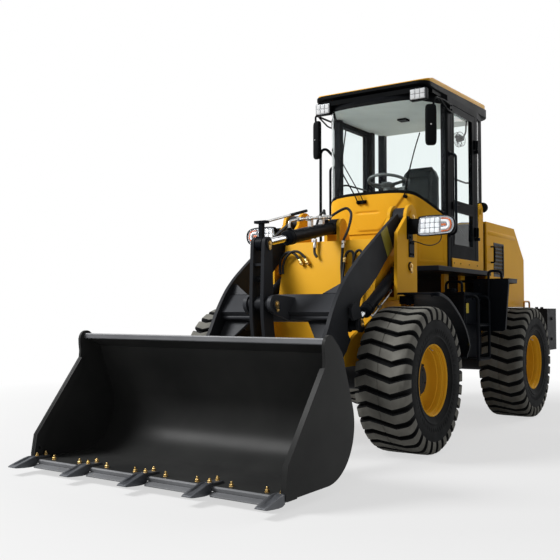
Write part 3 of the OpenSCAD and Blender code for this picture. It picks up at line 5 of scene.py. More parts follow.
import bmesh
import bpy
from mathutils import Vector
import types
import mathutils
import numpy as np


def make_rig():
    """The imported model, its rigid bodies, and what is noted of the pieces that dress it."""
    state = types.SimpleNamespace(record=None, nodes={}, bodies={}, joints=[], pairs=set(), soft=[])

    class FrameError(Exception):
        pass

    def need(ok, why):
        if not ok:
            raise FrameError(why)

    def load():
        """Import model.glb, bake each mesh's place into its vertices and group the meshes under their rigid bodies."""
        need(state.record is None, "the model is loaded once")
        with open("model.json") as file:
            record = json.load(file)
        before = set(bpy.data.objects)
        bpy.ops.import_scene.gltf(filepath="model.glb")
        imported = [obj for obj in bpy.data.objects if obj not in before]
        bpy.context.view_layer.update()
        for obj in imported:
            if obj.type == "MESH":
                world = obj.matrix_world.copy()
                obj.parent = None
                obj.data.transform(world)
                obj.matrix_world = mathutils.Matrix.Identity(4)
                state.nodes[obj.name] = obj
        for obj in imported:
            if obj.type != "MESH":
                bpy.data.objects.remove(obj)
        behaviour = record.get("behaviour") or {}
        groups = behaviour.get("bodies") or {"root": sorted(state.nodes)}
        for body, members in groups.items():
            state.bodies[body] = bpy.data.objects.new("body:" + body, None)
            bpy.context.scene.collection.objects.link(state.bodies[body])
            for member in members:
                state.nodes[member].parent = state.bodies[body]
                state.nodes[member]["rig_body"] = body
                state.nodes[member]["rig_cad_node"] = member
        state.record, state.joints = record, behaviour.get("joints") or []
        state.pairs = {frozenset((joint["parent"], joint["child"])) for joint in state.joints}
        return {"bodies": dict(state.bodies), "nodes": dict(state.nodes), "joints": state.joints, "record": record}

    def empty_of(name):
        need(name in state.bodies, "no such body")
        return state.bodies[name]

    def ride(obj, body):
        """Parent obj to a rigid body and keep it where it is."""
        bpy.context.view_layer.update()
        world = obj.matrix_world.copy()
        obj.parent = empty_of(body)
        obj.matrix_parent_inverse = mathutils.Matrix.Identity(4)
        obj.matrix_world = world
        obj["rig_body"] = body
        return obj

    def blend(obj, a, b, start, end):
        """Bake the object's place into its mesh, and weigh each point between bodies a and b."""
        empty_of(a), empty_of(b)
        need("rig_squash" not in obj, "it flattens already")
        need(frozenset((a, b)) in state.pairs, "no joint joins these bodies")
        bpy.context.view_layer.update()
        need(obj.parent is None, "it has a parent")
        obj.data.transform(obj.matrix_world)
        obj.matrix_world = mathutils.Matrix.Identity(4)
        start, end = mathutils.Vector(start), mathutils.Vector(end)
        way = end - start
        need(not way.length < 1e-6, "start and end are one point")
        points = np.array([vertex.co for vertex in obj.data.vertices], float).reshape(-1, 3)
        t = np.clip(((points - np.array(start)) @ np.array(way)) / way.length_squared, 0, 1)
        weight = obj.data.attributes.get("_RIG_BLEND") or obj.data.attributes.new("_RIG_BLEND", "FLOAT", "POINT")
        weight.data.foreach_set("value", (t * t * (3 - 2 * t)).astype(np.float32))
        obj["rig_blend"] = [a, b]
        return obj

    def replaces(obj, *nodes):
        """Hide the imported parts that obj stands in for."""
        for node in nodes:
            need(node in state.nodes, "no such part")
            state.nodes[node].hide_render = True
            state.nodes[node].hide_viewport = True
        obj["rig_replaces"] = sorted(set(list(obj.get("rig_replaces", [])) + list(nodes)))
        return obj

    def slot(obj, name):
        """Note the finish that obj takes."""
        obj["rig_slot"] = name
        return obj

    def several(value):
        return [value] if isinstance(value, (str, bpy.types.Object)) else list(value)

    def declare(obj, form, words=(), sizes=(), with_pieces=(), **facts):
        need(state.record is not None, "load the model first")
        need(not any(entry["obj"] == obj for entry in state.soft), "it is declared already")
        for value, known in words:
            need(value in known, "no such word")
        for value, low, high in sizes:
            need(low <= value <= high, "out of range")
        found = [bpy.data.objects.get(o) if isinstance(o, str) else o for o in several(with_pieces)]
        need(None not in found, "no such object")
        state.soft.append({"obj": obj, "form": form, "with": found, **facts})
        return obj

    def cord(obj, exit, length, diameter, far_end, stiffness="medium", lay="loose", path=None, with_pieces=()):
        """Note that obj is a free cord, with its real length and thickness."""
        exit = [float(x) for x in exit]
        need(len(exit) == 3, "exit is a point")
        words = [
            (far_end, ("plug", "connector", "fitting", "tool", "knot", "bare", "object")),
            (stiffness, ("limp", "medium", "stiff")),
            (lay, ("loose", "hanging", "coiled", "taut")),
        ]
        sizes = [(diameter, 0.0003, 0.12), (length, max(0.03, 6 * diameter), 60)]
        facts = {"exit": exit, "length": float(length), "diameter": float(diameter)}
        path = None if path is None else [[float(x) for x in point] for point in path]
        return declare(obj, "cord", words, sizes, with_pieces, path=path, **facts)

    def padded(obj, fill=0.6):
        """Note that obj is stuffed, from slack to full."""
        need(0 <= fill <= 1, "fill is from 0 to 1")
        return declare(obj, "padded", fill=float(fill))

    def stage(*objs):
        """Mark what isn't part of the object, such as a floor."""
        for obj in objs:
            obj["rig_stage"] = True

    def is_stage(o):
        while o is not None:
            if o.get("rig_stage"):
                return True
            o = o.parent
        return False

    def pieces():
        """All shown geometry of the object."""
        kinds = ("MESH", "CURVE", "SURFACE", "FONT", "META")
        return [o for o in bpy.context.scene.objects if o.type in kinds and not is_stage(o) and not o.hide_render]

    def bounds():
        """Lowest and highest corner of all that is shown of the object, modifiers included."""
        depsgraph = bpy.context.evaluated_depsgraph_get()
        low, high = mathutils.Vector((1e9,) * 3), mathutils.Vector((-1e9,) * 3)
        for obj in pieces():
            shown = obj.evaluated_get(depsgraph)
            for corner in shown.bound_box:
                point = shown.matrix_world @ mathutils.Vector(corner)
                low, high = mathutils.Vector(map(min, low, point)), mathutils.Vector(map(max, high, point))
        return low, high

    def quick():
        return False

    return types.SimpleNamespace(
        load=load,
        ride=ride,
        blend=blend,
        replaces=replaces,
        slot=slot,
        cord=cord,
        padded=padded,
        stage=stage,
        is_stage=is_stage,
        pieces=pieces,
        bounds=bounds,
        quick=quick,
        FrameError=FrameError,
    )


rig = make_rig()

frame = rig.load()
cad_low, cad_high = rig.bounds()

scene = bpy.context.scene
# Joint places, by name
joints = {j["name"]: Vector(j["pos_m"]) for j in frame["joints"] if "pos_m" in j}
PI = math.pi


# Camera at the photograph's viewing angle

def add_camera():
    """The fitted camera: its place, yaw and pitch in radians, and its lens."""
    place = Vector((6.2994, 3.3586, 1.0677))
    yaw, pitch, lens_mm = 3.732, 0.0382, 51.39
    data = bpy.data.cameras.new("camera")
    data.lens = lens_mm
    data.sensor_width = 36
    data.clip_end = 200
    cam = bpy.data.objects.new("camera", data)
    ahead = Vector((math.cos(yaw) * math.cos(pitch), math.sin(yaw) * math.cos(pitch), math.sin(pitch)))
    cam.location = place
    cam.rotation_euler = ahead.to_track_quat("-Z", "Y").to_euler()
    scene.collection.objects.link(cam)
    scene.camera = cam


add_camera()


# Materials

def shader(name):
    """A new material with its node tree and Principled shader."""
    mat = bpy.data.materials.new(name)
    mat.use_nodes = True
    nodes = mat.node_tree.nodes
    return mat, nodes, mat.node_tree.links, nodes["Principled BSDF"]


def noise_of(nodes, links, scale, detail=3.0):
    """Noise in object coordinates, in metres."""
    where = nodes.new("ShaderNodeTexCoord")
    noise = nodes.new("ShaderNodeTexNoise")
    noise.inputs["Scale"].default_value = scale
    noise.inputs["Detail"].default_value = detail
    noise.inputs["Roughness"].default_value = 0.55
    links.new(where.outputs["Object"], noise.inputs["Vector"])
    return noise.outputs["Fac"]


def ramp_of(nodes, links, fac, stops):
    """A colour ramp of (place, colour) stops."""
    ramp = nodes.new("ShaderNodeValToRGB")
    cells = ramp.color_ramp.elements
    while len(cells) < len(stops):
        cells.new(0.5)
    for cell, (place, colour) in zip(cells, stops):
        cell.position = place
        cell.color = (*colour, 1) if len(colour) == 3 else colour
    links.new(fac, ramp.inputs["Fac"])
    return ramp.outputs["Color"]


def grey(v):
    """A grey as a colour."""
    return (v, v, v)


def finish_of(name, dark, light, rough, scale, bump, bump_scale, metal=0.0, coat=0.0, spec=0.5):
    """A painted, moulded or metal surface: colour drifting from dark to light, uneven gloss, fine relief."""
    mat, nodes, links, bsdf = shader(name)
    drift = noise_of(nodes, links, scale)
    links.new(ramp_of(nodes, links, drift, [(0.3, dark), (0.7, light)]), bsdf.inputs["Base Color"])
    patchy = noise_of(nodes, links, scale * 3.1, 5.0)
    links.new(ramp_of(nodes, links, patchy, [(0.25, grey(rough[0])), (0.75, grey(rough[1]))]),
              bsdf.inputs["Roughness"])
    grain = noise_of(nodes, links, bump_scale, 2.0)
    relief = nodes.new("ShaderNodeBump")
    relief.inputs["Strength"].default_value = bump
    relief.inputs["Distance"].default_value = 0.001
    links.new(grain, relief.inputs["Height"])
    links.new(relief.outputs["Normal"], bsdf.inputs["Normal"])
    bsdf.inputs["Metallic"].default_value = metal
    bsdf.inputs["Coat Weight"].default_value = coat
    bsdf.inputs["Coat Roughness"].default_value = 0.08
    bsdf.inputs["Specular IOR Level"].default_value = spec
    mat.diffuse_color = (*light, 1)
    return mat


GLASS_IOR = 1.13


def glass_of(name, tint):
    """Tinted glass that lets lamp light through."""
    mat, nodes, links, bsdf = shader(name)
    bsdf.inputs["Base Color"].default_value = (*tint, 1)
    bsdf.inputs["Transmission Weight"].default_value = 1
    bsdf.inputs["Roughness"].default_value = 0.0
    bsdf.inputs["IOR"].default_value = GLASS_IOR
    clear = nodes.new("ShaderNodeBsdfTransparent")
    clear.inputs["Color"].default_value = (*tint, 1)
    path = nodes.new("ShaderNodeLightPath")
    mix = nodes.new("ShaderNodeMixShader")
    links.new(path.outputs["Is Shadow Ray"], mix.inputs["Fac"])
    links.new(bsdf.outputs["BSDF"], mix.inputs[1])
    links.new(clear.outputs["BSDF"], mix.inputs[2])
    links.new(mix.outputs["Shader"], nodes["Material Output"].inputs["Surface"])
    mat.diffuse_color = (*tint, 0.4)
    return mat


YELLOW = finish_of("yellow_paint", (0.80, 0.40, 0.020), (0.88, 0.46, 0.030), (0.30, 0.34), 1.6, 0.04, 420, coat=0.015,
                   spec=0.018)
BLACK = finish_of("black_paint", (0.0045, 0.0055, 0.0075), (0.0075, 0.009, 0.012), (0.34, 0.46), 2.2, 0.08, 380,
                  spec=0.03)
CHARCOAL = finish_of("charcoal_paint", (0.021, 0.022, 0.025), (0.031, 0.033, 0.037), (0.36, 0.50), 2.0, 0.10, 320,
                     spec=0.04)
# Lighter copy of the boom's charcoal paint for the cross beam and gussets: painted light, standing in for the key lamp
# on their upward and front faces
BEAM_PAINTED_LIGHT = finish_of("beam_paint", (0.042, 0.044, 0.049), (0.058, 0.061, 0.068), (0.36, 0.46), 2.0, 0.08, 320,
                      spec=0.06)
CAB_BLACK = finish_of("cab_paint", (0.0035, 0.004, 0.005), (0.006, 0.0065, 0.008), (0.36, 0.48), 2.2, 0.08, 380,
                      spec=0.012)
IRON = finish_of("cast_iron", (0.016, 0.017, 0.019), (0.030, 0.031, 0.033), (0.48, 0.65), 3.0, 0.5, 160, spec=0.06)
BUCKET = finish_of("bucket_steel", (0.022, 0.0225, 0.0225), (0.036, 0.0365, 0.0355), (0.30, 0.35), 1.8, 0.06, 300,
                   spec=0.05)
# Lighter grey for the rim bar, the lip's front and the edge segments: partly the edges' bare steel, partly painted
# highlight on faces turned to the key lamp
BUCKET_EDGE_AND_HIGHLIGHT = finish_of("bucket_edges", (0.11, 0.113, 0.12), (0.17, 0.175, 0.185), (0.36, 0.5), 2.4, 0.12, 260)
OLIVE = finish_of("olive_stripe", (0.20, 0.17, 0.012), (0.26, 0.22, 0.016), (0.4, 0.5), 5.0, 0.1, 400)
EDGE = finish_of("worn_steel", (0.045, 0.05, 0.06), (0.11, 0.115, 0.125), (0.34, 0.52), 5.0, 0.3, 220, metal=0.5)
CHROME = finish_of("chrome_rod", (0.62, 0.63, 0.65), (0.70, 0.71, 0.73), (0.10, 0.18), 3.0, 0.02, 500, metal=1.0)
RUBBER = finish_of("tyre_rubber", (0.007, 0.0075, 0.008), (0.014, 0.0145, 0.015), (0.62, 0.80), 4.0, 0.35, 240,
                   spec=0.05)
# Lug tops: partly real dust, partly painted light, made lighter for the key lamp on their up- and front-facing tops
TREAD_DUST_AND_LIGHT = finish_of("dusty_tread", (0.130, 0.127, 0.113), (0.220, 0.215, 0.193), (0.72, 0.90), 7.0, 0.5, 180, spec=0.05)
PLASTIC = finish_of("black_plastic", (0.0035, 0.004, 0.0045), (0.006, 0.0065, 0.007), (0.42, 0.55), 3.0, 0.22, 600,
                    spec=0.025)
LEATHER = finish_of("seat_cover", (0.004, 0.007, 0.008), (0.009, 0.014, 0.0155), (0.40, 0.55), 8.0, 0.7, 420, spec=0.12)
GOLD = finish_of("zinc_bolts", (0.42, 0.27, 0.08), (0.62, 0.45, 0.20), (0.28, 0.42), 30.0, 0.2, 500, metal=1.0)
SILVER = finish_of("steel_fittings", (0.36, 0.36, 0.36), (0.55, 0.55, 0.54), (0.26, 0.4), 25.0, 0.2, 500, metal=1.0)
HOSE = finish_of("hose_rubber", (0.007, 0.008, 0.009), (0.013, 0.014, 0.015), (0.42, 0.55), 6.0, 0.5, 700, spec=0.2)
GLASS = glass_of("tinted_glass", (0.92, 0.96, 0.955))
LENS = glass_of("lamp_lens", (0.96, 0.97, 0.98))

NODE_LOOKS = {
    "yellow_paint": YELLOW, "black_paint": BLACK, "cast_iron": IRON, "bucket_steel": BUCKET,
    "worn_steel": EDGE, "chrome_rod": CHROME, "tyre_rubber": RUBBER, "tinted_glass": GLASS,
    "black_plastic": PLASTIC, "seat_cover": LEATHER}


# CAD pieces that stay: rounded edges and their finish

NODE_BEVEL, NODE_ANGLE = 0.004, math.radians(32)
CAB_NODES = ("cab_frame", "left_door", "right_door")


def dress_node(name, mat):
    """Round the edges of a CAD node and give it its finish."""
    ob = frame["nodes"][name]
    ob.data.materials.clear()
    ob.data.materials.append(mat)
    weld = ob.modifiers.new("weld", "WELD")
    weld.merge_threshold = 1e-5
    bevel = ob.modifiers.new("bevel", "BEVEL")
    bevel.width = NODE_BEVEL
    bevel.segments = 2
    bevel.limit_method = "ANGLE"
    bevel.angle_limit = NODE_ANGLE
    bevel.harden_normals = False
    normals = ob.modifiers.new("normals", "WEIGHTED_NORMAL")
    normals.keep_sharp = True


slots = {p["node"]: p["material_slot"] for p in frame["record"]["subparts"]}
for node in frame["nodes"]:
    if node in CAB_NODES:
        look = CAB_BLACK
    # The cross beam takes the lighter copy of the boom paint, which is painted light
    elif node == "boom_cross_beam":
        look = BEAM_PAINTED_LIGHT
    else:
        look = NODE_LOOKS[slots[node]]
    dress_node(node, look)


# Mesh helpers: every length is in metres, in the CAD frame

def box(bm, low, high):
    """A box between two opposite corners."""
    v = [bm.verts.new((x, y, z)) for x in (low[0], high[0]) for y in (low[1], high[1]) for z in (low[2], high[2])]
    for f in ((0, 1, 3, 2), (4, 6, 7, 5), (0, 4, 5, 1), (2, 3, 7, 6), (0, 2, 6, 4), (1, 5, 7, 3)):
        bm.faces.new([v[i] for i in f])


def prism(bm, outline, axis, low, high, mat=0):
    """An outline pushed along axis 0, 1 or 2; its points hold the other two coordinates in order."""
    def level(h):
        return [bm.verts.new((*p[:axis], h, *p[axis:])) for p in outline]
    a, b = level(low), level(high)
    faces = [bm.faces.new(a), bm.faces.new(b)]
    faces += [bm.faces.new((a[i - 1], a[i], b[i], b[i - 1])) for i in range(len(a))]
    for f in faces:
        f.material_index = mat


def basis(axis):
    """Two unit vectors across an axis."""
    axis = Vector(axis).normalized()
    across = axis.orthogonal().normalized()
    return axis, across, axis.cross(across)


def ring_faces(bm, rings, mat=0, around=True):
    """Quads between neighbouring rings of points."""
    n = len(rings[0])
    for a, b in zip(rings, rings[1:]):
        for i in range(n if around else n - 1):
            j = (i + 1) % n
            bm.faces.new((a[i], a[j], b[j], b[i])).material_index = mat


def lathe(bm, profile, origin, axis, turns=48, mat=0, closed=False):
    """Turn a profile of (radius, way along the axis) about an axis through origin."""
    axis, u, v = basis(axis)
    origin = Vector(origin)
    rings = []
    for r, h in profile:
        rings.append([bm.verts.new(origin + axis * h + (u * math.cos(a) + v * math.sin(a)) * r)
                      for a in (2 * PI * i / turns for i in range(turns))])
    if closed:
        rings.append(rings[0])
    ring_faces(bm, rings, mat)
    return rings


def capped(bm, profile, origin, axis, turns=48, mat=0):
    """A turned solid whose first and last rings are closed."""
    rings = lathe(bm, profile, origin, axis, turns, mat)
    for ring in (rings[0], rings[-1]):
        bm.faces.new(ring).material_index = mat


def rod_between(bm, a, b, radius, turns=24):
    """A round bar with eased ends."""
    a, b = Vector(a), Vector(b)
    length = (b - a).length
    e = min(0.003, radius / 3, length / 3)
    capped(bm, [(radius - e, 0), (radius, e), (radius, length - e), (radius - e, length)], a, b - a, turns)


def rounded(points, radius, steps=6):
    """A path with its corners rounded."""
    pts = [Vector(p) for p in points]
    out = [pts[0]]
    for last, p, after in zip(pts, pts[1:], pts[2:]):
        back, ahead = last - p, after - p
        r = min(radius, back.length * 0.49, ahead.length * 0.49)
        a, b = p + back.normalized() * r, p + ahead.normalized() * r
        for k in range(steps + 1):
            t = k / steps
            out.append(a * (1 - t) ** 2 + p * 2 * t * (1 - t) + b * t * t)
    return out + [pts[-1]]


def spline(points, steps=8):
    """A smooth path through points."""
    p = [Vector(q) for q in points]
    p = [p[0] * 2 - p[1]] + p + [p[-1] * 2 - p[-2]]
    out = []
    for i in range(1, len(p) - 2):
        for k in range(steps):
            t = k / steps
            a, b, c, d = p[i - 1:i + 3]
            out.append(0.5 * ((2 * b) + (c - a) * t + (2 * a - 5 * b + 4 * c - d) * t * t
                              + (3 * b - a - 3 * c + d) * t ** 3))
    return out + [p[-2]]


def sweep(bm, path, radius, sides=12, mat=0, closed=False):
    """A round tube along a path."""
    path = [Vector(p) for p in path]
    n = len(path)
    rings = []
    normal = None
    for i, p in enumerate(path):
        if closed:
            along = path[(i + 1) % n] - path[i - 1]
        else:
            along = path[min(i + 1, n - 1)] - path[max(i - 1, 0)]
        along.normalize()
        if normal is None:
            normal = along.orthogonal()
        normal = (normal - along * normal.dot(along)).normalized()
        side = along.cross(normal)
        rings.append([bm.verts.new(p + (normal * math.cos(2 * PI * k / sides) + side * math.sin(2 * PI * k / sides))
                                   * radius) for k in range(sides)])
    if closed:
        rings.append(rings[0])
    ring_faces(bm, rings, mat)
    if not closed:
        for ring in (rings[0], rings[-1]):
            bm.faces.new(ring).material_index = mat


def bolt(bm, place, out, size, mat=0, stud=0.0):
    """A hexagon head on its washer, with the end of its stud where there is one."""
    out = Vector(out).normalized()
    place = Vector(place)
    capped(bm, [(size, -0.002), (size, size * 0.14), (size * 0.92, size * 0.2)], place, out, 16, mat)
    high = size * 0.9
    capped(bm, [(size * 0.84, size * 0.2), (size * 0.84, high * 0.86), (size * 0.7, high)], place, out, 6, mat)
    if stud:
        capped(bm, [(size * 0.45, high * 0.8), (size * 0.45, high + stud), (size * 0.36, high + stud * 1.2)],
               place, out, 12, mat)


def arc_points(centre, radius, start, end, steps):
    """Points of an arc in a plane, angles in degrees."""
    return [(centre[0] + radius * math.cos(math.radians(start + (end - start) * i / steps)),
             centre[1] + radius * math.sin(math.radians(start + (end - start) * i / steps))) for i in range(steps + 1)]


def piece(name, bm, body, mats, bevel=0.0, angle=35, replaces=(), slot=None, segments=2):
    """Close a mesh into a shown piece that rides on a body."""
    bmesh.ops.remove_doubles(bm, verts=bm.verts, dist=1e-6)
    bmesh.ops.dissolve_degenerate(bm, edges=bm.edges, dist=1e-7)
    bmesh.ops.recalc_face_normals(bm, faces=bm.faces)
    mesh = bpy.data.meshes.new(name)
    bm.to_mesh(mesh)
    bm.free()
    for m in mats:
        mesh.materials.append(m)
    mesh.polygons.foreach_set("use_smooth", [True] * len(mesh.polygons))
    mesh.set_sharp_from_angle(angle=math.radians(angle))
    ob = bpy.data.objects.new(name, mesh)
    scene.collection.objects.link(ob)
    if bevel:
        mod = ob.modifiers.new("bevel", "BEVEL")
        mod.width = bevel
        mod.segments = segments
        mod.limit_method = "ANGLE"
        mod.angle_limit = math.radians(angle)
        mod.harden_normals = True
    if body:
        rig.ride(ob, body)
    if replaces:
        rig.replaces(ob, *replaces)
    if slot:
        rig.slot(ob, slot)
    return ob


def between(points, x):
    """The height of a line of (x, height) points at x."""
    for (a, p), (b, q) in zip(points, points[1:]):
        if x <= b:
            return p + (q - p) * (x - a) / (b - a)
    return points[-1][1]


# Tyres, rims and hubs

TYRE_SIDE = [(0.2555, 0.150), (0.2560, 0.162), (0.262, 0.172), (0.272, 0.180), (0.276, 0.1835), (0.280, 0.1835),
             (0.290, 0.1875), (0.306, 0.192), (0.316, 0.1965), (0.321, 0.2015), (0.328, 0.2020), (0.333, 0.1985),
             (0.348, 0.2005), (0.380, 0.2055), (0.415, 0.2072), (0.440, 0.2060), (0.458, 0.2030), (0.476, 0.1975),
             (0.492, 0.189), (0.504, 0.177), (0.513, 0.160), (0.5185, 0.130), (0.521, 0.070)]
LUG_LINE = [(0.0, (0.515, 0.0), (0.550, 0.0)), (0.35, (0.514, 0.073), (0.550, 0.073)),
            (0.62, (0.511, 0.130), (0.5497, 0.131)), (0.80, (0.503, 0.163), (0.5475, 0.168)),
            (0.90, (0.492, 0.180), (0.541, 0.188)), (0.97, (0.478, 0.190), (0.526, 0.2010)),
            (1.05, (0.462, 0.1955), (0.504, 0.2072)), (1.14, (0.446, 0.1985), (0.480, 0.2093)),
            (1.20, (0.436, 0.1990), (0.462, 0.2090)), (1.24, (0.430, 0.1990), (0.452, 0.2062))]
LUG_WAVE = [(-1.30, 0.002), (-1.0, 0.0), (-0.5, 0.030), (0.42, -0.028), (1.0, 0.008), (1.30, 0.012)]
LUG_COUNT = 30
LUG_HALF = 0.0385
LUG_ROOT = 0.0095
LUG_EASE = 0.005
TYRE_R = 0.55
# A shallow split along the tread: its place, half its width and its depth
SPLIT_AT, SPLIT_HALF, SPLIT_DEEP = -0.06, 0.006, 0.0025


def lug_stations():
    """Stations across the tread: way across, root point, top point."""
    half = [s for s in LUG_LINE if s[0] > 0]
    line = [(-w, (a[0], -a[1]), (b[0], -b[1])) for w, a, b in reversed(half)] + LUG_LINE
    extra = [(w, None, None) for w in (-0.5, 0.42)]
    split = SPLIT_AT - SPLIT_HALF, SPLIT_AT + SPLIT_HALF
    extra += [(split[0] - 0.004, None, None), (split[0], None, SPLIT_DEEP), (split[1], None, SPLIT_DEEP),
              (split[1] + 0.004, None, None)]
    for w, _, deep in extra:
        root = tuple(between([(s[0], s[1][k]) for s in line if s[1]], w) for k in (0, 1))
        top = tuple(between([(s[0], s[2][k]) for s in line if s[1]], w) for k in (0, 1))
        line = sorted(line + [(w, root, (top[0] - (deep or 0), top[1]))])
    return line


def add_tyre(wheel, side):
    """A tyre with wavy lugs across its tread, outside towards side."""
    centre = joints[wheel + "_wheel_spin"]
    bm = bmesh.new()

    def at(r, y, turn):
        return bm.verts.new((centre.x + r * math.cos(turn), centre.y + side * y, centre.z + r * math.sin(turn)))

    turns = 90
    profile = TYRE_SIDE + [(0.5215, 0.0)] + [(r, -y) for r, y in reversed(TYRE_SIDE)]
    rings = [[at(r, y, 2 * PI * i / turns) for i in range(turns)] for r, y in profile]
    ring_faces(bm, rings + [rings[0]])
    stations = lug_stations()
    for lug in range(LUG_COUNT):
        middle = 2 * PI * lug / LUG_COUNT
        rows = []
        for w, root, top in stations:
            slim = 1 - 0.22 * max(0.0, abs(w) - 0.85)
            half = LUG_HALF * slim
            shift = between(LUG_WAVE, w)
            ease = min(LUG_EASE, abs(top[0] - root[0]) / 4)
            deep = [(-half - LUG_ROOT, root), (-half - 0.003, (top[0] - ease, top[1])), (-half + ease * 0.8, top),
                    (half - ease * 0.8, top), (half + 0.003, (top[0] - ease, top[1])), (half + LUG_ROOT, root)]
            rows.append([at(p[0], p[1], middle + (shift + s) / TYRE_R) for s, p in deep])
        # The lug tops take the lighter tread finish: dust, and painted light where the key lamp falls
        for a, b in zip(rows, rows[1:]):
            for k in range(5):
                bm.faces.new((a[k], a[k + 1], b[k + 1], b[k])).material_index = 1 if k == 2 else 0
        for row in (rows[0], rows[-1]):
            bm.faces.new(row)
    # Ribs below the shoulders
    for rib in range(LUG_COUNT * 2):
        turn = 2 * PI * (rib + 0.5) / (LUG_COUNT * 2)
        for face in (1, -1):
            row = []
            for r, y in ((0.345, 0.1985), (0.352, 0.2035), (0.372, 0.2075), (0.384, 0.2068)):
                row.append([at(r, face * (y - (0.004 if k in (0, 3) else 0)), turn + o / r)
                            for k, o in enumerate((-0.006, -0.003, 0.003, 0.006))])
            ring_faces(bm, row, around=False)
    piece(wheel + "_tread_tyre", bm, wheel + "_wheel", [RUBBER, TREAD_DUST_AND_LIGHT], angle=40,
          replaces=[wheel + "_tyre"], slot="tyre_rubber")


RIM_PROFILE = [(0.2665, 0.1690), (0.2685, 0.1745), (0.2685, 0.1790), (0.2660, 0.1815), (0.2620, 0.1815),
               (0.2585, 0.1780), (0.2550, 0.1700), (0.2535, 0.1600), (0.2500, 0.1570), (0.2485, 0.1500),
               (0.2455, 0.1470), (0.2430, 0.1400), (0.2415, 0.1100), (0.2360, 0.1050), (0.2345, 0.0600),
               (0.2310, 0.0420), (0.2220, 0.0260), (0.2080, 0.0170), (0.1900, 0.0140), (0.1500, 0.0140),
               (0.1400, 0.0120), (0.0620, 0.0120), (0.0620, -0.0120), (0.2050, -0.0120), (0.2220, -0.0060),
               (0.2340, 0.0060), (0.2360, -0.0600), (0.2400, -0.1300), (0.2450, -0.1480), (0.2560, -0.1650),
               (0.2620, -0.1810), (0.2660, -0.1815), (0.2685, -0.1780), (0.2685, -0.1700), (0.2536, -0.1690),
               (0.2536, 0.1690)]
HUB_PROFILE = [(0.146, 0.012), (0.146, 0.036), (0.142, 0.041), (0.128, 0.043), (0.120, 0.050), (0.117, 0.066),
               (0.110, 0.075), (0.094, 0.079), (0.060, 0.080), (0.056, 0.084), (0.030, 0.085), (0.027, 0.082)]
# Rings of bolts: how many, the first one's share of a step, height, radius, size and stud
HUB_BOLTS = [(10, 0, 0.0135, 0.168, 0.0165, 0.012), (8, 0.5, 0.0425, 0.133, 0.0105, 0.0),
             (4, 0.25, 0.0795, 0.077, 0.008, 0.0)]


def add_rim(wheel, side):
    """A dished rim with its valve, and a black hub with its bolts."""
    centre = joints[wheel + "_wheel_spin"]
    out = Vector((0, side, 0))
    bm = bmesh.new()
    lathe(bm, RIM_PROFILE, centre, out, 96, closed=True)
    foot = centre + out * 0.145 + Vector((0, 0, 0.242))
    sweep(bm, [foot, foot + out * 0.012 - Vector((0, 0, 0.016)), foot + out * 0.030 - Vector((0, 0, 0.022))], 0.004,
          8, 1)
    piece(wheel + "_dished_rim", bm, wheel + "_wheel", [YELLOW, SILVER], angle=28,
          replaces=[wheel + "_rim"], slot="yellow_paint")
    bm = bmesh.new()
    capped(bm, HUB_PROFILE, centre, out, 64)
    capped(bm, [(0.150, -0.05), (0.150, -0.012), (0.140, -0.011)], centre, out, 48)
    for count, first, height, radius, size, stud in HUB_BOLTS:
        for i in range(count):
            a = 2 * PI * (i + first) / count
            bolt(bm, centre + out * height + Vector((math.cos(a), 0, math.sin(a))) * radius, out, size, stud=stud)
    piece(wheel + "_hub", bm, wheel + "_wheel", [IRON], angle=30, slot="cast_iron")


for wheel, side in (("front_left", 1), ("front_right", -1), ("rear_left", 1), ("rear_right", -1)):
    add_tyre(wheel, side)
    add_rim(wheel, side)


# Bucket

def plate(bm, outline, axis, low, high, holes=()):
    """A flat plate across an axis, from its outline and the outlines of its holes."""
    loops = [outline, *holes]
    caps = []
    for h in (low, high):
        rings = [[bm.verts.new((*p[:axis], h, *p[axis:])) for p in loop] for loop in loops]
        edges = [bm.edges.new((ring[i - 1], ring[i])) for ring in rings for i in range(len(ring))]
        bmesh.ops.triangle_fill(bm, use_beauty=True, use_dissolve=False, edges=edges)
        caps.append(rings)
    for a, b in zip(*caps):
        for i in range(len(a)):
            bm.faces.new((a[i - 1], a[i], b[i], b[i - 1]))


def circle(centre, radius, steps):
    """The outline of a round hole."""
    return arc_points(centre, radius, 0, 360 * (steps - 1) / steps, steps - 1)


def pin_cap(bm, place, out, radius, thick):
    """A round cap on a pin's end."""
    capped(bm, [(radius, -0.003), (radius, thick * 0.7), (radius * 0.94, thick), (radius * 0.3, thick)], place, out, 32)


def keeper(bm, place, out, down, size):
    """A zinc keeper plate over a pin's end, with its bolt."""
    out, down = Vector(out), Vector(down).normalized()
    side = out.cross(down)
    far, small = size * 1.9, size * 0.55
    shape = [(math.cos(a) * size, math.sin(a) * size) for a in (PI * k / 10 for k in range(11))]
    shape += [(-small * math.cos(a), -far - small * math.sin(a)) for a in (PI * k / 8 for k in range(9))]
    low, high = [[bm.verts.new(Vector(place) + side * x - down * y + out * lift) for x, y in shape]
                 for lift in (-0.001, 0.006)]
    for f in ([low, high] + [(low[i - 1], low[i], high[i], high[i - 1]) for i in range(len(low))]):
        bm.faces.new(f)
    capped(bm, [(small, 0.005), (small, 0.013), (size * 0.4, 0.015)], place, out, 20)
    bolt(bm, Vector(place) + down * far + out * 0.006, out, size * 0.36)


LIP_X, FLOOR_Z, HALF_BUCKET = 2.755, 0.062, 1.02
# The bowl's round part: its centre, radius, thickness and last angle in degrees
BEND, BEND_R, SHELL = (2.320, 0.382), 0.320, 0.016
BACK_END = 159
HINGE, LINK_PIN = joints["bucket_tilt"], (1.870, 0.465)
ARM_Y = 0.515


def back_at(z, inset=0.0):
    """A place on the bucket's straight upper back."""
    a = math.radians(BACK_END)
    x = BEND[0] + (BEND_R - inset) * math.cos(a)
    return x + (z - BEND[1] - (BEND_R - inset) * math.sin(a)) * math.tan(math.radians(180 - BACK_END)), z


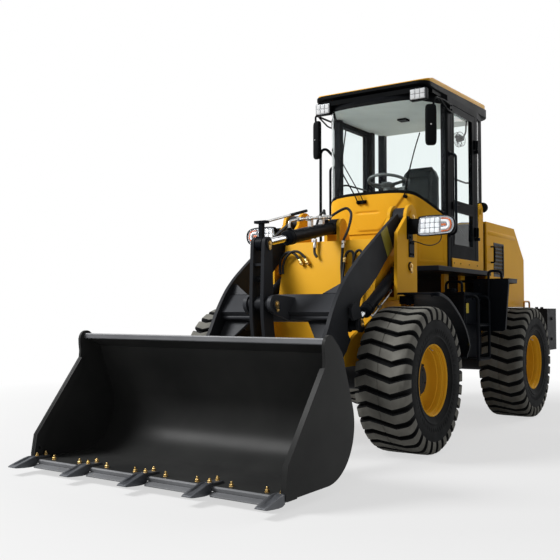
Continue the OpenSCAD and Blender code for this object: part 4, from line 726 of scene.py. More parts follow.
def shell_line(inset):
    """The bucket's bowl from its lip to the top of its back."""
    bowl = arc_points(BEND, BEND_R - inset, -90, BACK_END - 360, 44)
    return [(LIP_X - 0.012, FLOOR_Z + inset)] + bowl + [back_at(0.812, inset)]


def mirrored(low, high):
    """A span on the left and its mirror on the right."""
    return (low, high), (-high, -low)


def on_side(side, a, b):
    """Two distances from the middle, on one side, in rising order of Y."""
    return sorted((side * a, side * b))


def add_bucket():
    bm = bmesh.new()
    rim = [(2.303, 0.882), (2.303, 0.898)]
    prism(bm, shell_line(0) + [rim[1], rim[0]] + shell_line(SHELL)[::-1], 1, -HALF_BUCKET + 0.004, HALF_BUCKET - 0.004)
    # Rim bar and its backing strip; the bar's lighter grey is painted highlight where it faces the key lamp
    prism(bm, [(2.284, 0.872), (2.284, 0.900), (2.292, 0.906), (2.308, 0.906), (2.313, 0.900), (2.313, 0.874),
               (2.306, 0.868), (2.292, 0.868)], 1, -0.999, 0.999, 1)
    prism(bm, [back_at(0.700, -0.012), back_at(0.800, -0.012), back_at(0.800, 0.004), back_at(0.700, 0.004)], 1, -1.0,
          1.0)
    # Base edge along the lip, with its lighter grey front: partly bare steel, partly painted highlight where it faces
    # the key lamp
    prism(bm, [(2.612, 0.0785), (2.616, 0.0825), (2.738, 0.0825), (2.738, 0.0555), (2.64, 0.0555), (2.64, 0.0785)], 1,
          -HALF_BUCKET + 0.002, HALF_BUCKET - 0.002)
    prism(bm, [(2.736, 0.0565), (2.736, 0.0815), (2.745, 0.0815), (2.755, 0.075), (2.755, 0.0565)], 1,
          -HALF_BUCKET + 0.003, HALF_BUCKET - 0.003, 1)
    # Side plates with their lobes, and cutters along their front edges
    front = [(2.755, 0.062), (2.755, 0.116), (2.7346, 0.240), (2.3475, 0.738)]
    lobe = [(2.343, 0.78), (2.350, 0.83), (2.352, 0.868)] + arc_points((2.290, 0.866), 0.060, 8, 122, 9)
    outline = shell_line(0) + [(2.190, 0.862)] + lobe[::-1] + front[::-1]
    cutter = [(2.753, 0.084), (2.753, 0.116), (2.733, 0.239), (2.3475, 0.736), (2.3450, 0.640), (2.672, 0.222),
              (2.684, 0.084)]
    for low, high in mirrored(1.0, HALF_BUCKET):
        plate(bm, outline, 1, low, high)
    for low, high in mirrored(0.985, 1.001):
        plate(bm, cutter, 1, low, high, holes=[circle((2.712, 0.150), 0.009, 14)])
    # Ears on the boom arms and lugs for the link
    root = arc_points(BEND, BEND_R - 0.008, 215, BACK_END, 12)
    ear = arc_points((HINGE.x, HINGE.z), 0.085, 112, 262, 16) + [(2.000, 0.212)] + root + [back_at(0.600, 0.008)]
    lug = arc_points(LINK_PIN, 0.045, 104, 262, 14) + arc_points(BEND, BEND_R - 0.008, 178, BACK_END, 8) + [
        back_at(0.585, 0.008)]
    for y in (ARM_Y - 0.078, ARM_Y + 0.050):
        for low, high in mirrored(y, y + 0.028):
            plate(bm, ear, 1, low, high)
    for low, high in mirrored(0.035, 0.063):
        plate(bm, lug, 1, low, high)
        pin_cap(bm, (LINK_PIN[0], high if low > 0 else low, LINK_PIN[1]), (0, 1 if low > 0 else -1, 0), 0.030, 0.008)
    for low, high in mirrored(ARM_Y - 0.078, ARM_Y + 0.078):
        rod_between(bm, (HINGE.x, low - 0.008, HINGE.z), (HINGE.x, high + 0.008, HINGE.z), 0.0345, 32)
    # Wear strips under the floor
    for y in (-0.62, 0.0, 0.62):
        box(bm, (2.36, y - 0.06, 0.052), (2.62, y + 0.06, 0.0635))
    piece("bucket_shell", bm, "bucket", [BUCKET, BUCKET_EDGE_AND_HIGHLIGHT], 0.0025, 30, ["bucket"], "bucket_steel")
    bm = bmesh.new()
    for side in (1, -1):
        keeper(bm, (HINGE.x, side * (ARM_Y + 0.086), HINGE.z), (0, side, 0), (0.5, 0, -0.3), 0.026)
    piece("bucket_pin_keepers", bm, "bucket", [GOLD], 0.0008, 30)


TOOTH = [(2.640, 0.031, 0.0930, 0.0820, 0), (2.652, 0.033, 0.0965, 0.0820, 0), (2.725, 0.033, 0.0985, 0.0820, 0),
         (2.7555, 0.033, 0.1010, 0.0815, 0), (2.757, 0.034, 0.1012, 0.0480, 0.0015),
         (2.785, 0.036, 0.1015, 0.0400, 0.007),
         (2.820, 0.037, 0.0945, 0.0395, 0.012), (2.865, 0.037, 0.0820, 0.0430, 0.011),
         (2.905, 0.037, 0.0705, 0.0470, 0.006),
         (2.930, 0.037, 0.0625, 0.0500, 0.0), (2.9385, 0.036, 0.0580, 0.0520, 0.0)]


def add_teeth():
    """Five bolted teeth with ridged tops, and the edge segments between them."""
    pitch = (2 * HALF_BUCKET - 0.074) / 4
    bm = bmesh.new()
    zinc = bmesh.new()
    for i in range(5):
        y = -HALF_BUCKET + 0.037 + i * pitch
        rows = []
        for x, half, top, low, dip in TOOTH:
            ring = [(-1, low), (-1, top - 0.004), (-0.9, top), (-0.58, top), (-0.42, top - dip), (0.42, top - dip),
                    (0.58, top), (0.9, top), (1, top - 0.004), (1, low)]
            rows.append([bm.verts.new((x, y + half * w, z)) for w, z in ring])
        ring_faces(bm, rows)
        for row in (rows[0], rows[-1]):
            bm.faces.new(row)
        for x in (2.662, 2.735):
            bolt(zinc, (x, y, 0.0985), (0, 0, 1), 0.0155, stud=0.008)
    for i in range(4):
        y0 = -HALF_BUCKET + 0.074 + i * pitch + 0.002
        y1 = y0 + pitch - 0.078
        rows = []
        for y, tip in ((y0, 2.786), (y0 + 0.026, 2.8145), (y1 - 0.026, 2.8145), (y1, 2.786)):
            rows.append([bm.verts.new((x, y, z)) for x, z in
                         ((2.668, 0.0385), (2.668, 0.0550), (tip - 0.026, 0.0550), (tip, 0.0455), (tip, 0.0385))])
        # The edge segments take the lighter edge grey, which is partly painted highlight
        ring_faces(bm, rows, 1)
        for row in (rows[0], rows[-1]):
            bm.faces.new(row).material_index = 1
        for y in (y0 + 0.085, y1 - 0.085):
            bolt(zinc, (2.694, y, 0.0825), (0, 0, 1), 0.0165, stud=0.012)
            bolt(zinc, (2.694, y, 0.0385), (0, 0, -1), 0.014)
    piece("bucket_teeth", bm, "bucket", [EDGE, BUCKET_EDGE_AND_HIGHLIGHT], 0.0018, 30, ["bucket_edge"], "worn_steel")
    piece("edge_bolts", zinc, "bucket", [GOLD], 0.0006, 30)


add_bucket()
add_teeth()


# Boom, linkage and cylinders

BOOM_PIN, CRANK_PIN = joints["boom_lift"], joints["crank_turn"]
CRANK_TOP, CRANK_FOOT = (1.530, 1.555), (1.380, 0.464)
LIFT_BASE, LIFT_PIN = joints["lift_swing"], (1.0602, 0.9650)
TILT_BASE = joints["tilt_swing"]
BOOM_DIR = (HINGE - BOOM_PIN).normalized()
BOOM_UP = Vector((-BOOM_DIR.z, 0, BOOM_DIR.x))
BOOM_L = (HINGE - BOOM_PIN).length


def on_boom(u, v):
    """A place in X and Z from its shares along and across the boom."""
    p = BOOM_PIN + BOOM_L * (BOOM_DIR * u + BOOM_UP * v)
    return p.x, p.z


def eye(bm, place, radius, bore, width, mat=0):
    """A round eye on a cross pin, with eased edges."""
    e, h = 0.004, width / 2
    lathe(bm, [(bore, -h + 0.001), (bore + 0.002, -h), (radius - e, -h), (radius, -h + e), (radius, h - e),
               (radius - e, h), (bore + 0.002, h), (bore, h - 0.001)], place, (0, 1, 0), 40, mat, closed=True)


def smooth_loop(points, steps=6):
    """A closed smooth outline through points in a plane."""
    n = len(points)
    p = [Vector((x, z, 0)) for x, z in points]
    out = []
    for i in range(n):
        a, b, c, d = p[i - 1], p[i], p[(i + 1) % n], p[(i + 2) % n]
        for k in range(steps):
            t = k / steps
            q = 0.5 * (2 * b + (c - a) * t + (2 * a - 5 * b + 4 * c - d) * t * t + (3 * b - a - 3 * c + d) * t ** 3)
            out.append((q.x, q.y))
    return out


ARM_FRONT = [(0.03, 0.042), (0.12, 0.062), (0.2194, 0.0813), (0.33, 0.102), (0.422, 0.1136), (0.47, 0.117),
             (0.5213, 0.1157), (0.57, 0.108), (0.6181, 0.0963), (0.6883, 0.074), (0.76, 0.060), (0.86, 0.048),
             (0.975, 0.0365)]
ARM_BACK = [(0.975, -0.0365), (0.80, -0.046), (0.6534, -0.0528), (0.6127, -0.0495), (0.54, -0.030), (0.455, 0.003),
            (0.38, -0.0085), (0.3035, -0.018), (0.2197, -0.0214), (0.1111, -0.0297), (0.03, -0.036)]
LIFT_ROOM = 0.142
ARM_HALF, CHEEK_AT, CHEEK_HALF = 0.015, 0.047, 0.010
CHEEK_TOP = [(0.556, 0.008), (0.553, 0.034), (0.540, 0.048), (0.522, 0.048), (0.505, 0.036), (0.497, 0.012)]


def arm_outline():
    """The arm's side outline, with the room around the lift eye."""
    def smooth(points):
        return [(p.x, p.z) for p in spline([(x, 0, z) for x, z in (on_boom(*s) for s in points)], 10)]
    back = []
    for x, z in smooth(ARM_BACK):
        d = Vector((x - LIFT_PIN[0], z - LIFT_PIN[1]))
        if d.length < LIFT_ROOM:
            d = d.normalized() * LIFT_ROOM
        back.append((LIFT_PIN[0] + d.x, LIFT_PIN[1] + d.y))
    return smooth(ARM_FRONT) + back


def wedge(bm, corners, down):
    """A three-cornered plate from its upper corners and the way to its lower ones."""
    v = [bm.verts.new(Vector(p) + Vector(move)) for move in ((0, 0, 0), down) for p in corners]
    for f in ((0, 1, 2), (3, 5, 4), (0, 3, 4, 1), (1, 4, 5, 2), (2, 5, 3, 0)):
        bm.faces.new([v[i] for i in f])


def add_boom():
    outline = arm_outline()
    # Cheeks of the lift cylinder fork, round the pin and up the arm
    cheek = arc_points(LIFT_PIN, 0.058, -150, 55, 14)
    cheek += [on_boom(*s) for s in CHEEK_TOP]
    for side, name in ((1, "left"), (-1, "right")):
        bm = bmesh.new()
        y = side * ARM_Y
        plate(bm, outline, 1, y - ARM_HALF, y + ARM_HALF)
        eye(bm, (BOOM_PIN.x, y, BOOM_PIN.z), 0.085, 0.0358, 0.104)
        eye(bm, (HINGE.x, y, HINGE.z), 0.085, 0.0358, 0.090)
        for c in (-CHEEK_AT, CHEEK_AT):
            plate(bm, smooth_loop(cheek, 2), 1, y + c - CHEEK_HALF, y + c + CHEEK_HALF)
        x, z = on_boom(0.5314, 0.0364)
        rod_between(bm, (x, y - 0.05, z), (x, y + 0.05, z), 0.014)
        pin_cap(bm, (LIFT_PIN[0], y + side * 0.057, LIFT_PIN[1]), (0, side, 0), 0.036, 0.004)
        piece(f"boom_{name}_arm_plate", bm, "boom", [CHARCOAL], 0.003, 30, [f"boom_{name}_arm"], "black_paint")
    # Gussets between arms and cross beam, and the beam's front ledge
    bm = bmesh.new()
    for side in (1, -1):
        inner = side * (ARM_Y - ARM_HALF)
        (x, z), (x2, z2) = on_boom(0.470, 0.104), on_boom(0.516, 0.090)
        wedge(bm, ((x, inner, z), (x2, inner, z2), (x2, inner - side * 0.16, z2)), (-0.012, 0, -0.012))
        (x, z), (x2, z2) = on_boom(0.600, 0.046), on_boom(0.742, 0.008)
        wedge(bm, ((x, inner, z), (x, inner - side * 0.24, z), (x2, inner, z2)), (-0.010, 0, -0.012))
    x, z = on_boom(0.603, 0.062)
    for y0, y1 in ((0.128, 0.498), (-0.498, -0.128)):
        rod_between(bm, (x, y0, z), (x, y1, z), 0.017, 20)
    # The gussets and ledge also take the beam's lighter copy of the boom paint: painted light
    piece("boom_gussets", bm, "boom", [BEAM_PAINTED_LIGHT], 0.002, 30)
    zinc = bmesh.new()
    for side in (1, -1):
        keeper(zinc, (LIFT_PIN[0], side * (ARM_Y + 0.061), LIFT_PIN[1]), (0, side, 0), (0.35, 0, 0.94), 0.020)
        keeper(zinc, (CRANK_PIN.x, side * 0.136, CRANK_PIN.z), (0, side, 0), (-0.2, 0, -1), 0.024)
    piece("boom_pin_keepers", zinc, "boom", [GOLD], 0.0008, 30)
    bm = bmesh.new()
    for side in (1, -1):
        strip = [on_boom(*s) for s in ((0.130, 0.064), (0.185, 0.0745), (0.200, -0.020), (0.146, -0.026))]
        y = side * (ARM_Y + 0.0156)
        plate(bm, strip, 1, y - 0.0012, y + 0.0012)
    piece("arm_stripe", bm, "boom", [OLIVE])


CRANK_SIDE = [(1.580, 1.555), (1.586, 1.44), (1.591, 1.30), (1.596, 1.114), (1.590, 1.00), (1.568, 0.86), (1.520, 0.69),
              (1.462, 0.555), (1.426, 0.460), (1.407, 0.4275), (1.377, 0.419), (1.347, 0.4335), (1.335, 0.466),
              (1.342, 0.510), (1.385, 0.66), (1.435, 0.83), (1.462, 0.97), (1.465, 1.114), (1.470, 1.26), (1.478, 1.44),
              (1.480, 1.555), (1.4945, 1.590), (1.530, 1.605), (1.5655, 1.590)]


def add_crank():
    bm = bmesh.new()
    outline = smooth_loop(CRANK_SIDE, 6)
    middle = (CRANK_PIN.x, CRANK_PIN.z)
    for low, high in mirrored(0.035, 0.063):
        plate(bm, outline, 1, low, high, holes=[circle(middle, 0.0362, 28)])
        out = 1 if low > 0 else -1
        face = high if out > 0 else low
        pin_cap(bm, (CRANK_TOP[0], face, CRANK_TOP[1]), (0, out, 0), 0.036, 0.010)
        pin_cap(bm, (CRANK_FOOT[0], face, CRANK_FOOT[1]), (0, out, 0), 0.036, 0.012)
        eye(bm, (middle[0], out * 0.074, middle[1]), 0.056, 0.0362, 0.026)
    eye(bm, (middle[0], 0, middle[1]), 0.056, 0.0362, 0.072)
    # Tie between the plates, upright plate and its weld bar
    box(bm, (1.490, -0.037, 1.392), (1.572, 0.037, 1.410))
    rod_between(bm, (1.52, -0.037, 1.300), (1.52, 0.037, 1.300), 0.026)
    piece("bell_crank_plates", bm, "bell_crank", [CHARCOAL], 0.003, 30, ["bell_crank"], "black_paint")
    zinc = bmesh.new()
    for out in (1, -1):
        keeper(zinc, (CRANK_TOP[0], out * 0.073, CRANK_TOP[1]), (0, out, 0), (0.0, 0, -1), 0.020)
    piece("crank_pin_keepers", zinc, "bell_crank", [GOLD], 0.0008, 30)
    # Link between crank and bucket
    bm = bmesh.new()
    a, b = Vector((CRANK_FOOT[0], 0, CRANK_FOOT[1])), Vector((LINK_PIN[0], 0, LINK_PIN[1]))
    eye(bm, a, 0.045, 0.0285, 0.060)
    eye(bm, b, 0.045, 0.006, 0.060)
    along = (b - a).normalized()
    up = Vector((-along.z, 0, along.x))
    reach = (b - a).length
    rows = []
    for s, h in ((0.036, 0.024), (0.085, 0.034), (reach / 2, 0.031), (reach - 0.085, 0.034), (reach - 0.036, 0.024)):
        rows.append([bm.verts.new(a + along * s + up * k * h + Vector((0, w, 0)))
                     for k, w in ((1, 0.024), (0.7, 0.029), (-0.7, 0.029), (-1, 0.024), (-1, -0.024), (-0.7, -0.029),
                                  (0.7, -0.029), (1, -0.024))])
    ring_faces(bm, rows)
    for row in (rows[0], rows[-1]):
        bm.faces.new(row)
    piece("bucket_link_bar", bm, "bucket_link", [CHARCOAL], 0.002, 30, ["bucket_link"], "black_paint")


def cylinder_frame(a, b, y):
    """Places along a cylinder between two pins: s along it, h above it, w to its left."""
    start = Vector((a[0], y, a[1]))
    d = Vector((b[0] - a[0], 0, b[1] - a[1])).normalized()
    n = Vector((-d.z, 0, d.x))
    return (lambda s, h=0.0, w=0.0: start + d * s + n * h + Vector((0, w, 0))), d


def add_cylinder(base, tip, ys, radius, rod_r, length, base_r, base_w, end_r, end_w, rod_from):
    """A hydraulic cylinder: base eye, tube, ribbed gland, chrome rod and rod eye."""
    tube_bm, rod_bm = bmesh.new(), bmesh.new()
    for y in ys:
        at, d = cylinder_frame(base, tip, y)
        reach = (Vector(tip) - Vector(base)).length
        eye(tube_bm, at(0), base_r, 0.0288, base_w)
        bore = rod_r + 0.0006
        lathe(tube_bm, [(0.012, 0.036), (radius * 0.72, 0.040), (radius * 0.86, base_r * 0.86),
                        (radius, base_r + 0.016),
                        (radius, length - 0.098), (radius * 1.06, length - 0.096), (radius * 1.14, length - 0.092),
                        (radius * 1.14, length - 0.060), (radius * 1.05, length - 0.057),
                        (radius * 1.05, length - 0.052),
                        (radius * 1.12, length - 0.049), (radius * 1.12, length - 0.012),
                        (radius * 1.04, length - 0.004),
                        (bore + 0.010, length), (bore, length - 0.002), (bore, 0.11), (0.012, 0.105)],
              at(0), d, 48, closed=True)
        lathe(tube_bm, [(radius * 0.99, base_r + 0.030), (radius * 1.05, base_r + 0.033),
                        (radius * 1.05, base_r + 0.052), (radius * 0.99, base_r + 0.055)], at(0), d, 48)
        capped(rod_bm, [(rod_r - 0.002, rod_from), (rod_r, rod_from + 0.002), (rod_r, reach - end_r * 0.8)], at(0), d,
               32)
        capped(rod_bm, [(rod_r, reach - end_r - 0.022), (rod_r * 1.22, reach - end_r - 0.018),
                        (rod_r * 1.30, reach - end_r * 0.7)], at(0), d, 32, 1)
        eye(rod_bm, at(reach), end_r, 0.010, end_w, 1)
    return tube_bm, rod_bm


def fitting(bm, a, b, radius):
    """A swaged hose end: hexagon nut and ferrule between two points."""
    a, b = Vector(a), Vector(b)
    length = (b - a).length
    capped(bm, [(radius * 1.45, 0), (radius * 1.5, 0.002), (radius * 1.5, length * 0.32),
                (radius * 1.4, length * 0.36)], a,
           b - a, 6)
    capped(bm, [(radius * 1.05, length * 0.34), (radius * 1.05, length * 0.46), (radius * 1.32, length * 0.5),
                (radius * 1.32, length * 0.92), (radius * 1.2, length)], a, b - a, 20)


def add_cylinders():
    # Tilt cylinder
    base = (TILT_BASE.x, TILT_BASE.z)
    tube, rod = add_cylinder(base, CRANK_TOP, (0,), 0.052, 0.028, 0.78, 0.065, 0.080, 0.050, 0.060, 0.33)
    at, _ = cylinder_frame(base, CRANK_TOP, 0)
    # Ports, riser and the steel pipe above the tube
    for s in (0.145, 0.715):
        rod_between(tube, at(s, 0.045), at(s, 0.074), 0.021, 20)
    piece("tilt_cylinder_tube", tube, "tilt_barrel", [BLACK], 0.0015, 32, ["tilt_barrel"], "black_paint")
    bm = bmesh.new()
    sweep(bm, rounded([at(0.715, 0.070), at(0.715, 0.122, 0.006), at(0.60, 0.126, 0.010), at(0.13, 0.094, 0.012)],
                      0.025),
          0.0105, 12)
    for s, h in ((0.60, 0.126), (0.46, 0.1165), (0.30, 0.1055), (0.155, 0.096)):
        fitting(bm, at(s, h, 0.011), at(s - 0.075, h - 0.005, 0.011), 0.0125)
    for s in (0.40, 0.22):
        box(bm, at(s, 0.048) - Vector((0.012, 0.012, 0.004)), at(s, 0.112) + Vector((0.012, 0.020, 0)))
    fitting(bm, at(0.145, 0.070, -0.004), at(0.145, 0.118, -0.006), 0.012)
    piece("tilt_pipe", bm, "tilt_barrel", [SILVER], 0.0008, 32)
    piece("tilt_chrome_rod", rod, "tilt_rod", [CHROME, BLACK], 0.0012, 32, ["tilt_rod"], "chrome_rod")
    # Level indicator on the rod eye
    bm = bmesh.new()
    box(bm, (1.512, -0.016, 1.598), (1.548, 0.016, 1.708))
    box(bm, (1.500, -0.028, 1.590), (1.560, 0.028, 1.608))
    box(bm, (1.505, -0.052, 1.704), (1.555, 0.052, 1.724))
    start = Vector((1.520, 0.030, 1.716))
    end = Vector((0.955, 0.030, 1.856))
    sweep(bm, [start, start.lerp(end, 0.6)], 0.0095, 12, 1)
    sweep(bm, [start.lerp(end, 0.58), end], 0.0120, 12)
    piece("level_indicator", bm, "tilt_rod", [BLACK, SILVER], 0.002, 32)
    # Lift cylinders
    base = (LIFT_BASE.x, LIFT_BASE.z)
    tube, rod = add_cylinder(base, LIFT_PIN, (ARM_Y, -ARM_Y), 0.046, 0.025, 0.745, 0.050, 0.090, 0.046, 0.064, 0.16)
    piece("lift_cylinder_tubes", tube, "lift_barrels", [BLACK], 0.0015, 32, ["lift_barrels"], "black_paint")
    piece("lift_chrome_rods", rod, "lift_rods", [CHROME, BLACK], 0.0012, 32, ["lift_rods"], "chrome_rod")
    bm = bmesh.new()
    for y in (ARM_Y, -ARM_Y):
        out = 1 if y > 0 else -1
        at, _ = cylinder_frame(base, LIFT_PIN, y)
        w = out * 0.030
        sweep(bm, rounded([at(0.690, -0.046, w * 0.6), at(0.690, -0.066, w), at(0.50, -0.066, w), at(0.20, -0.066, w),
                           at(0.16, -0.050, w * 0.6)], 0.02), 0.0075, 10)
        for s in (0.30, 0.55):
            box(bm, at(s, -0.074, w) - Vector((0.012, 0.010, 0.0)), at(s, -0.045, w) + Vector((0.012, 0.010, 0.0)))
    piece("lift_pipes", bm, "lift_barrels", [SILVER], 0.0008, 32)


def add_hoses():
    """Hydraulic hoses between the tilt cylinder and the front frame, and on the frame's face."""
    at, _ = cylinder_frame((TILT_BASE.x, TILT_BASE.z), CRANK_TOP, 0)
    runs = (
        ("tilt_hose_left", [at(0.085, 0.091, 0.012), at(0.03, 0.110, 0.020), (0.445, 0.060, 1.915),
                            (0.418, 0.100, 1.925),
                            (0.425, 0.140, 1.870), (0.500, 0.152, 1.740), (0.553, 0.136, 1.640), (0.572, 0.138, 1.555),
                            (0.601, 0.145, 1.427), (0.633, 0.166, 1.301), (0.672, 0.172, 1.150), (0.700, 0.172, 1.05)],
         [(0.553, 0.136, 1.640), (0.565, 0.138, 1.580)]),
        ("tilt_hose_right", [at(0.145, 0.112, -0.006), at(0.130, 0.150, -0.020), (0.490, -0.085, 1.905),
                             (0.470, -0.135, 1.880),
                             (0.500, -0.150, 1.800), (0.535, -0.145, 1.705), (0.557, -0.138, 1.630),
                             (0.575, -0.128, 1.555),
                             (0.585, -0.100, 1.515)],
         [(0.545, -0.142, 1.668), (0.566, -0.132, 1.592)]))
    for name, path, nut in runs:
        bm = bmesh.new()
        sweep(bm, spline(path, 8), 0.0115, 12)
        ob = piece(name, bm, None, [HOSE], angle=60)
        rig.blend(ob, "tilt_barrel", "front_frame", at(0.02, 0.08), (0.52, 0.145, 1.72))
        metal = bmesh.new()
        fitting(metal, nut[0], nut[1], 0.0125)
        piece(name + "_ferrule", metal, "front_frame", [SILVER], 0.0006, 32)
    bm, metal = bmesh.new(), bmesh.new()
    face = Vector((0.970, 0, 0.2415))
    for path in ([(0.600, -0.455, 1.380), (0.590, -0.468, 1.450), (0.588, -0.452, 1.515), (0.583, -0.400, 1.562),
                  (0.580, -0.335, 1.556), (0.584, -0.285, 1.515), (0.588, -0.258, 1.485)],
                 [(0.607, -0.425, 1.380), (0.600, -0.430, 1.450), (0.598, -0.405, 1.515), (0.590, -0.350, 1.565),
                  (0.580, -0.285, 1.565), (0.580, -0.225, 1.520), (0.588, -0.198, 1.485)],
                 [(0.640, 0.176, 1.300), (0.612, 0.170, 1.400), (0.590, 0.170, 1.490), (0.580, 0.186, 1.540),
                  (0.574, 0.214, 1.552), (0.574, 0.240, 1.530), (0.592, 0.250, 1.460), (0.618, 0.254, 1.360),
                  (0.660, 0.262, 1.200), (0.690, 0.268, 1.080)],
                 [(0.592, 0.255, 1.480), (0.580, 0.262, 1.530), (0.574, 0.288, 1.556), (0.576, 0.316, 1.540),
                  (0.590, 0.330, 1.480), (0.616, 0.336, 1.370), (0.660, 0.342, 1.200), (0.690, 0.345, 1.080)]):
        sweep(bm, spline(path, 8), 0.0110, 12)
    for p, q in (((0.592, -0.246, 1.462), (0.584, -0.272, 1.500)), ((0.592, -0.186, 1.462), (0.583, -0.212, 1.500)),
                 ((0.597, 0.170, 1.460), (0.590, 0.170, 1.500))):
        fitting(metal, p, q, 0.012)
        rod_between(metal, Vector(p) - face * 0.030, Vector(p) + face * 0.006, 0.013, 12)
    piece("frame_hoses", bm, "front_frame", [HOSE], angle=60)
    piece("hose_fittings", metal, "front_frame", [GOLD], 0.0006, 32)


add_boom()
add_crank()
add_cylinders()
add_hoses()


# Cab outside

LAMP_WHITE = finish_of("lamp_white", (0.54, 0.55, 0.56), (0.64, 0.65, 0.66), (0.18, 0.30), 20.0, 0.1, 300, coat=0.4)
REFLECTOR = finish_of("lamp_reflector", (0.26, 0.27, 0.28), (0.38, 0.39, 0.40), (0.14, 0.24), 15.0, 0.1, 300, metal=0.8)
AMBER = finish_of("amber_lens", (0.40, 0.075, 0.012), (0.52, 0.11, 0.018), (0.12, 0.2), 12.0, 0.1, 300, coat=0.5)
RED = finish_of("red_lens", (0.42, 0.012, 0.008), (0.52, 0.02, 0.012), (0.12, 0.2), 12.0, 0.1, 300, coat=0.5)
MIRROR = finish_of("mirror_glass", (0.80, 0.81, 0.82), (0.86, 0.87, 0.88), (0.02, 0.05), 2.0, 0.0, 300, metal=1.0)

FLOOR_TOP, ROOF_Z = 1.46, 2.975
NOSE_HALF = [(-0.565, 0.600), (-0.448, 0.546), (-0.3505, 0.498), (-0.2725, 0.456), (-0.2152, 0.400), (-0.1887, 0.300),
             (-0.1765, 0.150)]


def nose_line(inset=0.0, steps=8):
    """The nose's plan from right to left, moved inwards by inset."""
    pts = [(x, -y, 0) for x, y in NOSE_HALF] + [(x, y, 0) for x, y in NOSE_HALF[::-1]]
    path = spline(pts, steps)
    out = []
    for i, p in enumerate(path):
        t = (path[min(i + 1, len(path) - 1)] - path[max(i - 1, 0)]).normalized()
        out.append((p.x - t.y * inset, p.y + t.x * inset))
    return out


def cowl_top(x):
    """The slanting top edge of the cowl."""
    return 1.86 + (x + 0.635) * 0.566


def loft(bm, rings, mat=0):
    """A closed skin over rings of points, with both ends filled."""
    rows = [[bm.verts.new(p) for p in ring] for ring in rings]
    ring_faces(bm, rows, mat)
    for row in (rows[0], rows[-1]):
        bm.faces.new(row).material_index = mat


def nose_band(bm, low, high, outer, inner, steps, span=None):
    """A strip that follows the nose between two heights."""
    a, b = nose_line(outer, steps), nose_line(inner, steps)
    pairs = list(zip(a, b))
    if span:
        pairs = pairs[span[0]:span[1]]
    loft(bm, [[(p[0], p[1], low(p[0])), (p[0], p[1], high(p[0])), (q[0], q[1], high(p[0])), (q[0], q[1], low(p[0]))]
              for p, q in pairs])


def ease(t):
    """A soft step from 0 to 1."""
    t = min(max(t, 0.0), 1.0)
    return t * t * (3 - 2 * t)


def cowl_relief(s, z):
    """Pressed shape of the cowl: raised trapezoid, slot and lower step."""
    half = 0.115 + (z - 1.79) * 0.78
    raised = 0.012 * ease((half - abs(s)) / 0.016) * ease((z - 1.785) / 0.016)
    slot = 0.009 * ease((0.118 - abs(s + 0.02)) / 0.012) * ease((0.0125 - abs(z - 1.958)) / 0.007)
    step = 0.012 * ease((1.7625 - z) / 0.005)
    side = 0.007 * ease((0.145 - abs(abs(s) - 0.625)) / 0.010) * ease((0.095 - abs(z - 1.605)) / 0.010)
    return raised - slot - step - side


def add_cowl():
    bm = bmesh.new()
    steps = 16
    base, deep = nose_line(0.0, steps), nose_line(0.020, steps)
    away = [0.0]
    for p, q in zip(base, base[1:]):
        away.append(away[-1] + math.dist(p, q))
    middle = away[-1] / 2
    rows = 84
    out_rows = []
    for (x, y), (dx, dy), s in zip(base, deep, away):
        nx, ny = (x - dx) / 0.020, (y - dy) / 0.020
        top = cowl_top(x)
        column = []
        for k in range(rows + 1):
            z = FLOOR_TOP + (top - FLOOR_TOP) * k / rows
            push = cowl_relief(s - middle, z)
            column.append(bm.verts.new((x + nx * push, y + ny * push, z)))
        column.append(bm.verts.new((dx, dy, top)))
        column.append(bm.verts.new((dx, dy, FLOOR_TOP)))
        out_rows.append(column)
    ring_faces(bm, out_rows)
    for column in (out_rows[0], out_rows[-1]):
        bm.faces.new(column)
    piece("cowl_panel", bm, "rear_frame", [YELLOW], angle=50, replaces=["cab_cowl"], slot="yellow_paint")
    bm = bmesh.new()
    nose_band(bm, lambda x: cowl_top(x) + 0.002, lambda x: ROOF_Z - 0.001, 0.006, 0.0125, 10)
    piece("curved_windshield", bm, "rear_frame", [GLASS], angle=60, replaces=["windshield"], slot="tinted_glass")
    bm = bmesh.new()
    nose_band(bm, lambda x: cowl_top(x) - 0.002, lambda x: cowl_top(x) + 0.030, 0.001, 0.015, 10)
    nose_band(bm, lambda x: ROOF_Z - 0.028, lambda x: ROOF_Z, 0.001, 0.015, 10)
    last = len(nose_line(0, 10))
    for span in ((0, 3), (last - 3, last)):
        nose_band(bm, lambda x: cowl_top(x) + 0.02, lambda x: ROOF_Z - 0.02, 0.0015, 0.0145, 10, span=span)
    piece("windshield_seal", bm, "rear_frame", [PLASTIC], 0.002, 40)


ROOF_FRONT, ROOF_REAR, ROOF_HALF = -0.145, -1.715, 0.580


def roof_half(x, inset, front_r, rear_r):
    """Half the roof's width at x, with rounded corners in plan."""
    half = ROOF_HALF - inset
    for end, r in ((ROOF_FRONT - inset, front_r), (ROOF_REAR + inset, rear_r)):
        d = abs(x - end)
        if d < r:
            half = min(half, ROOF_HALF - inset - r + math.sqrt(max(0.0, r * r - (r - d) ** 2)))
    return half


def roof_stations(inset, front_r, rear_r):
    """Places along the roof, close together at its rounded ends."""
    a, b = ROOF_FRONT - inset, ROOF_REAR + inset
    near = [a - front_r * (1 - math.cos(k * PI / 16)) for k in range(9)]
    far = [b + rear_r * (1 - math.cos(k * PI / 16)) for k in range(8, -1, -1)]
    count = 14
    return near + [near[-1] + (far[0] - near[-1]) * k / count for k in range(1, count)] + far


def back_share(x):
    """How far back on the roof x is, from 0 to 1."""
    return (ROOF_FRONT - x) / (ROOF_FRONT - ROOF_REAR)


def cap_low(x):
    """The cap's lower edge, which rises to the rear."""
    return 3.090 + 0.046 * back_share(x)


def cap_high(x):
    """The cap's top: a raked front, then a gentle rise to the rear."""
    return min(3.103 + 0.28 * (ROOF_FRONT - 0.02 - x), 3.147 + 0.046 * back_share(x))


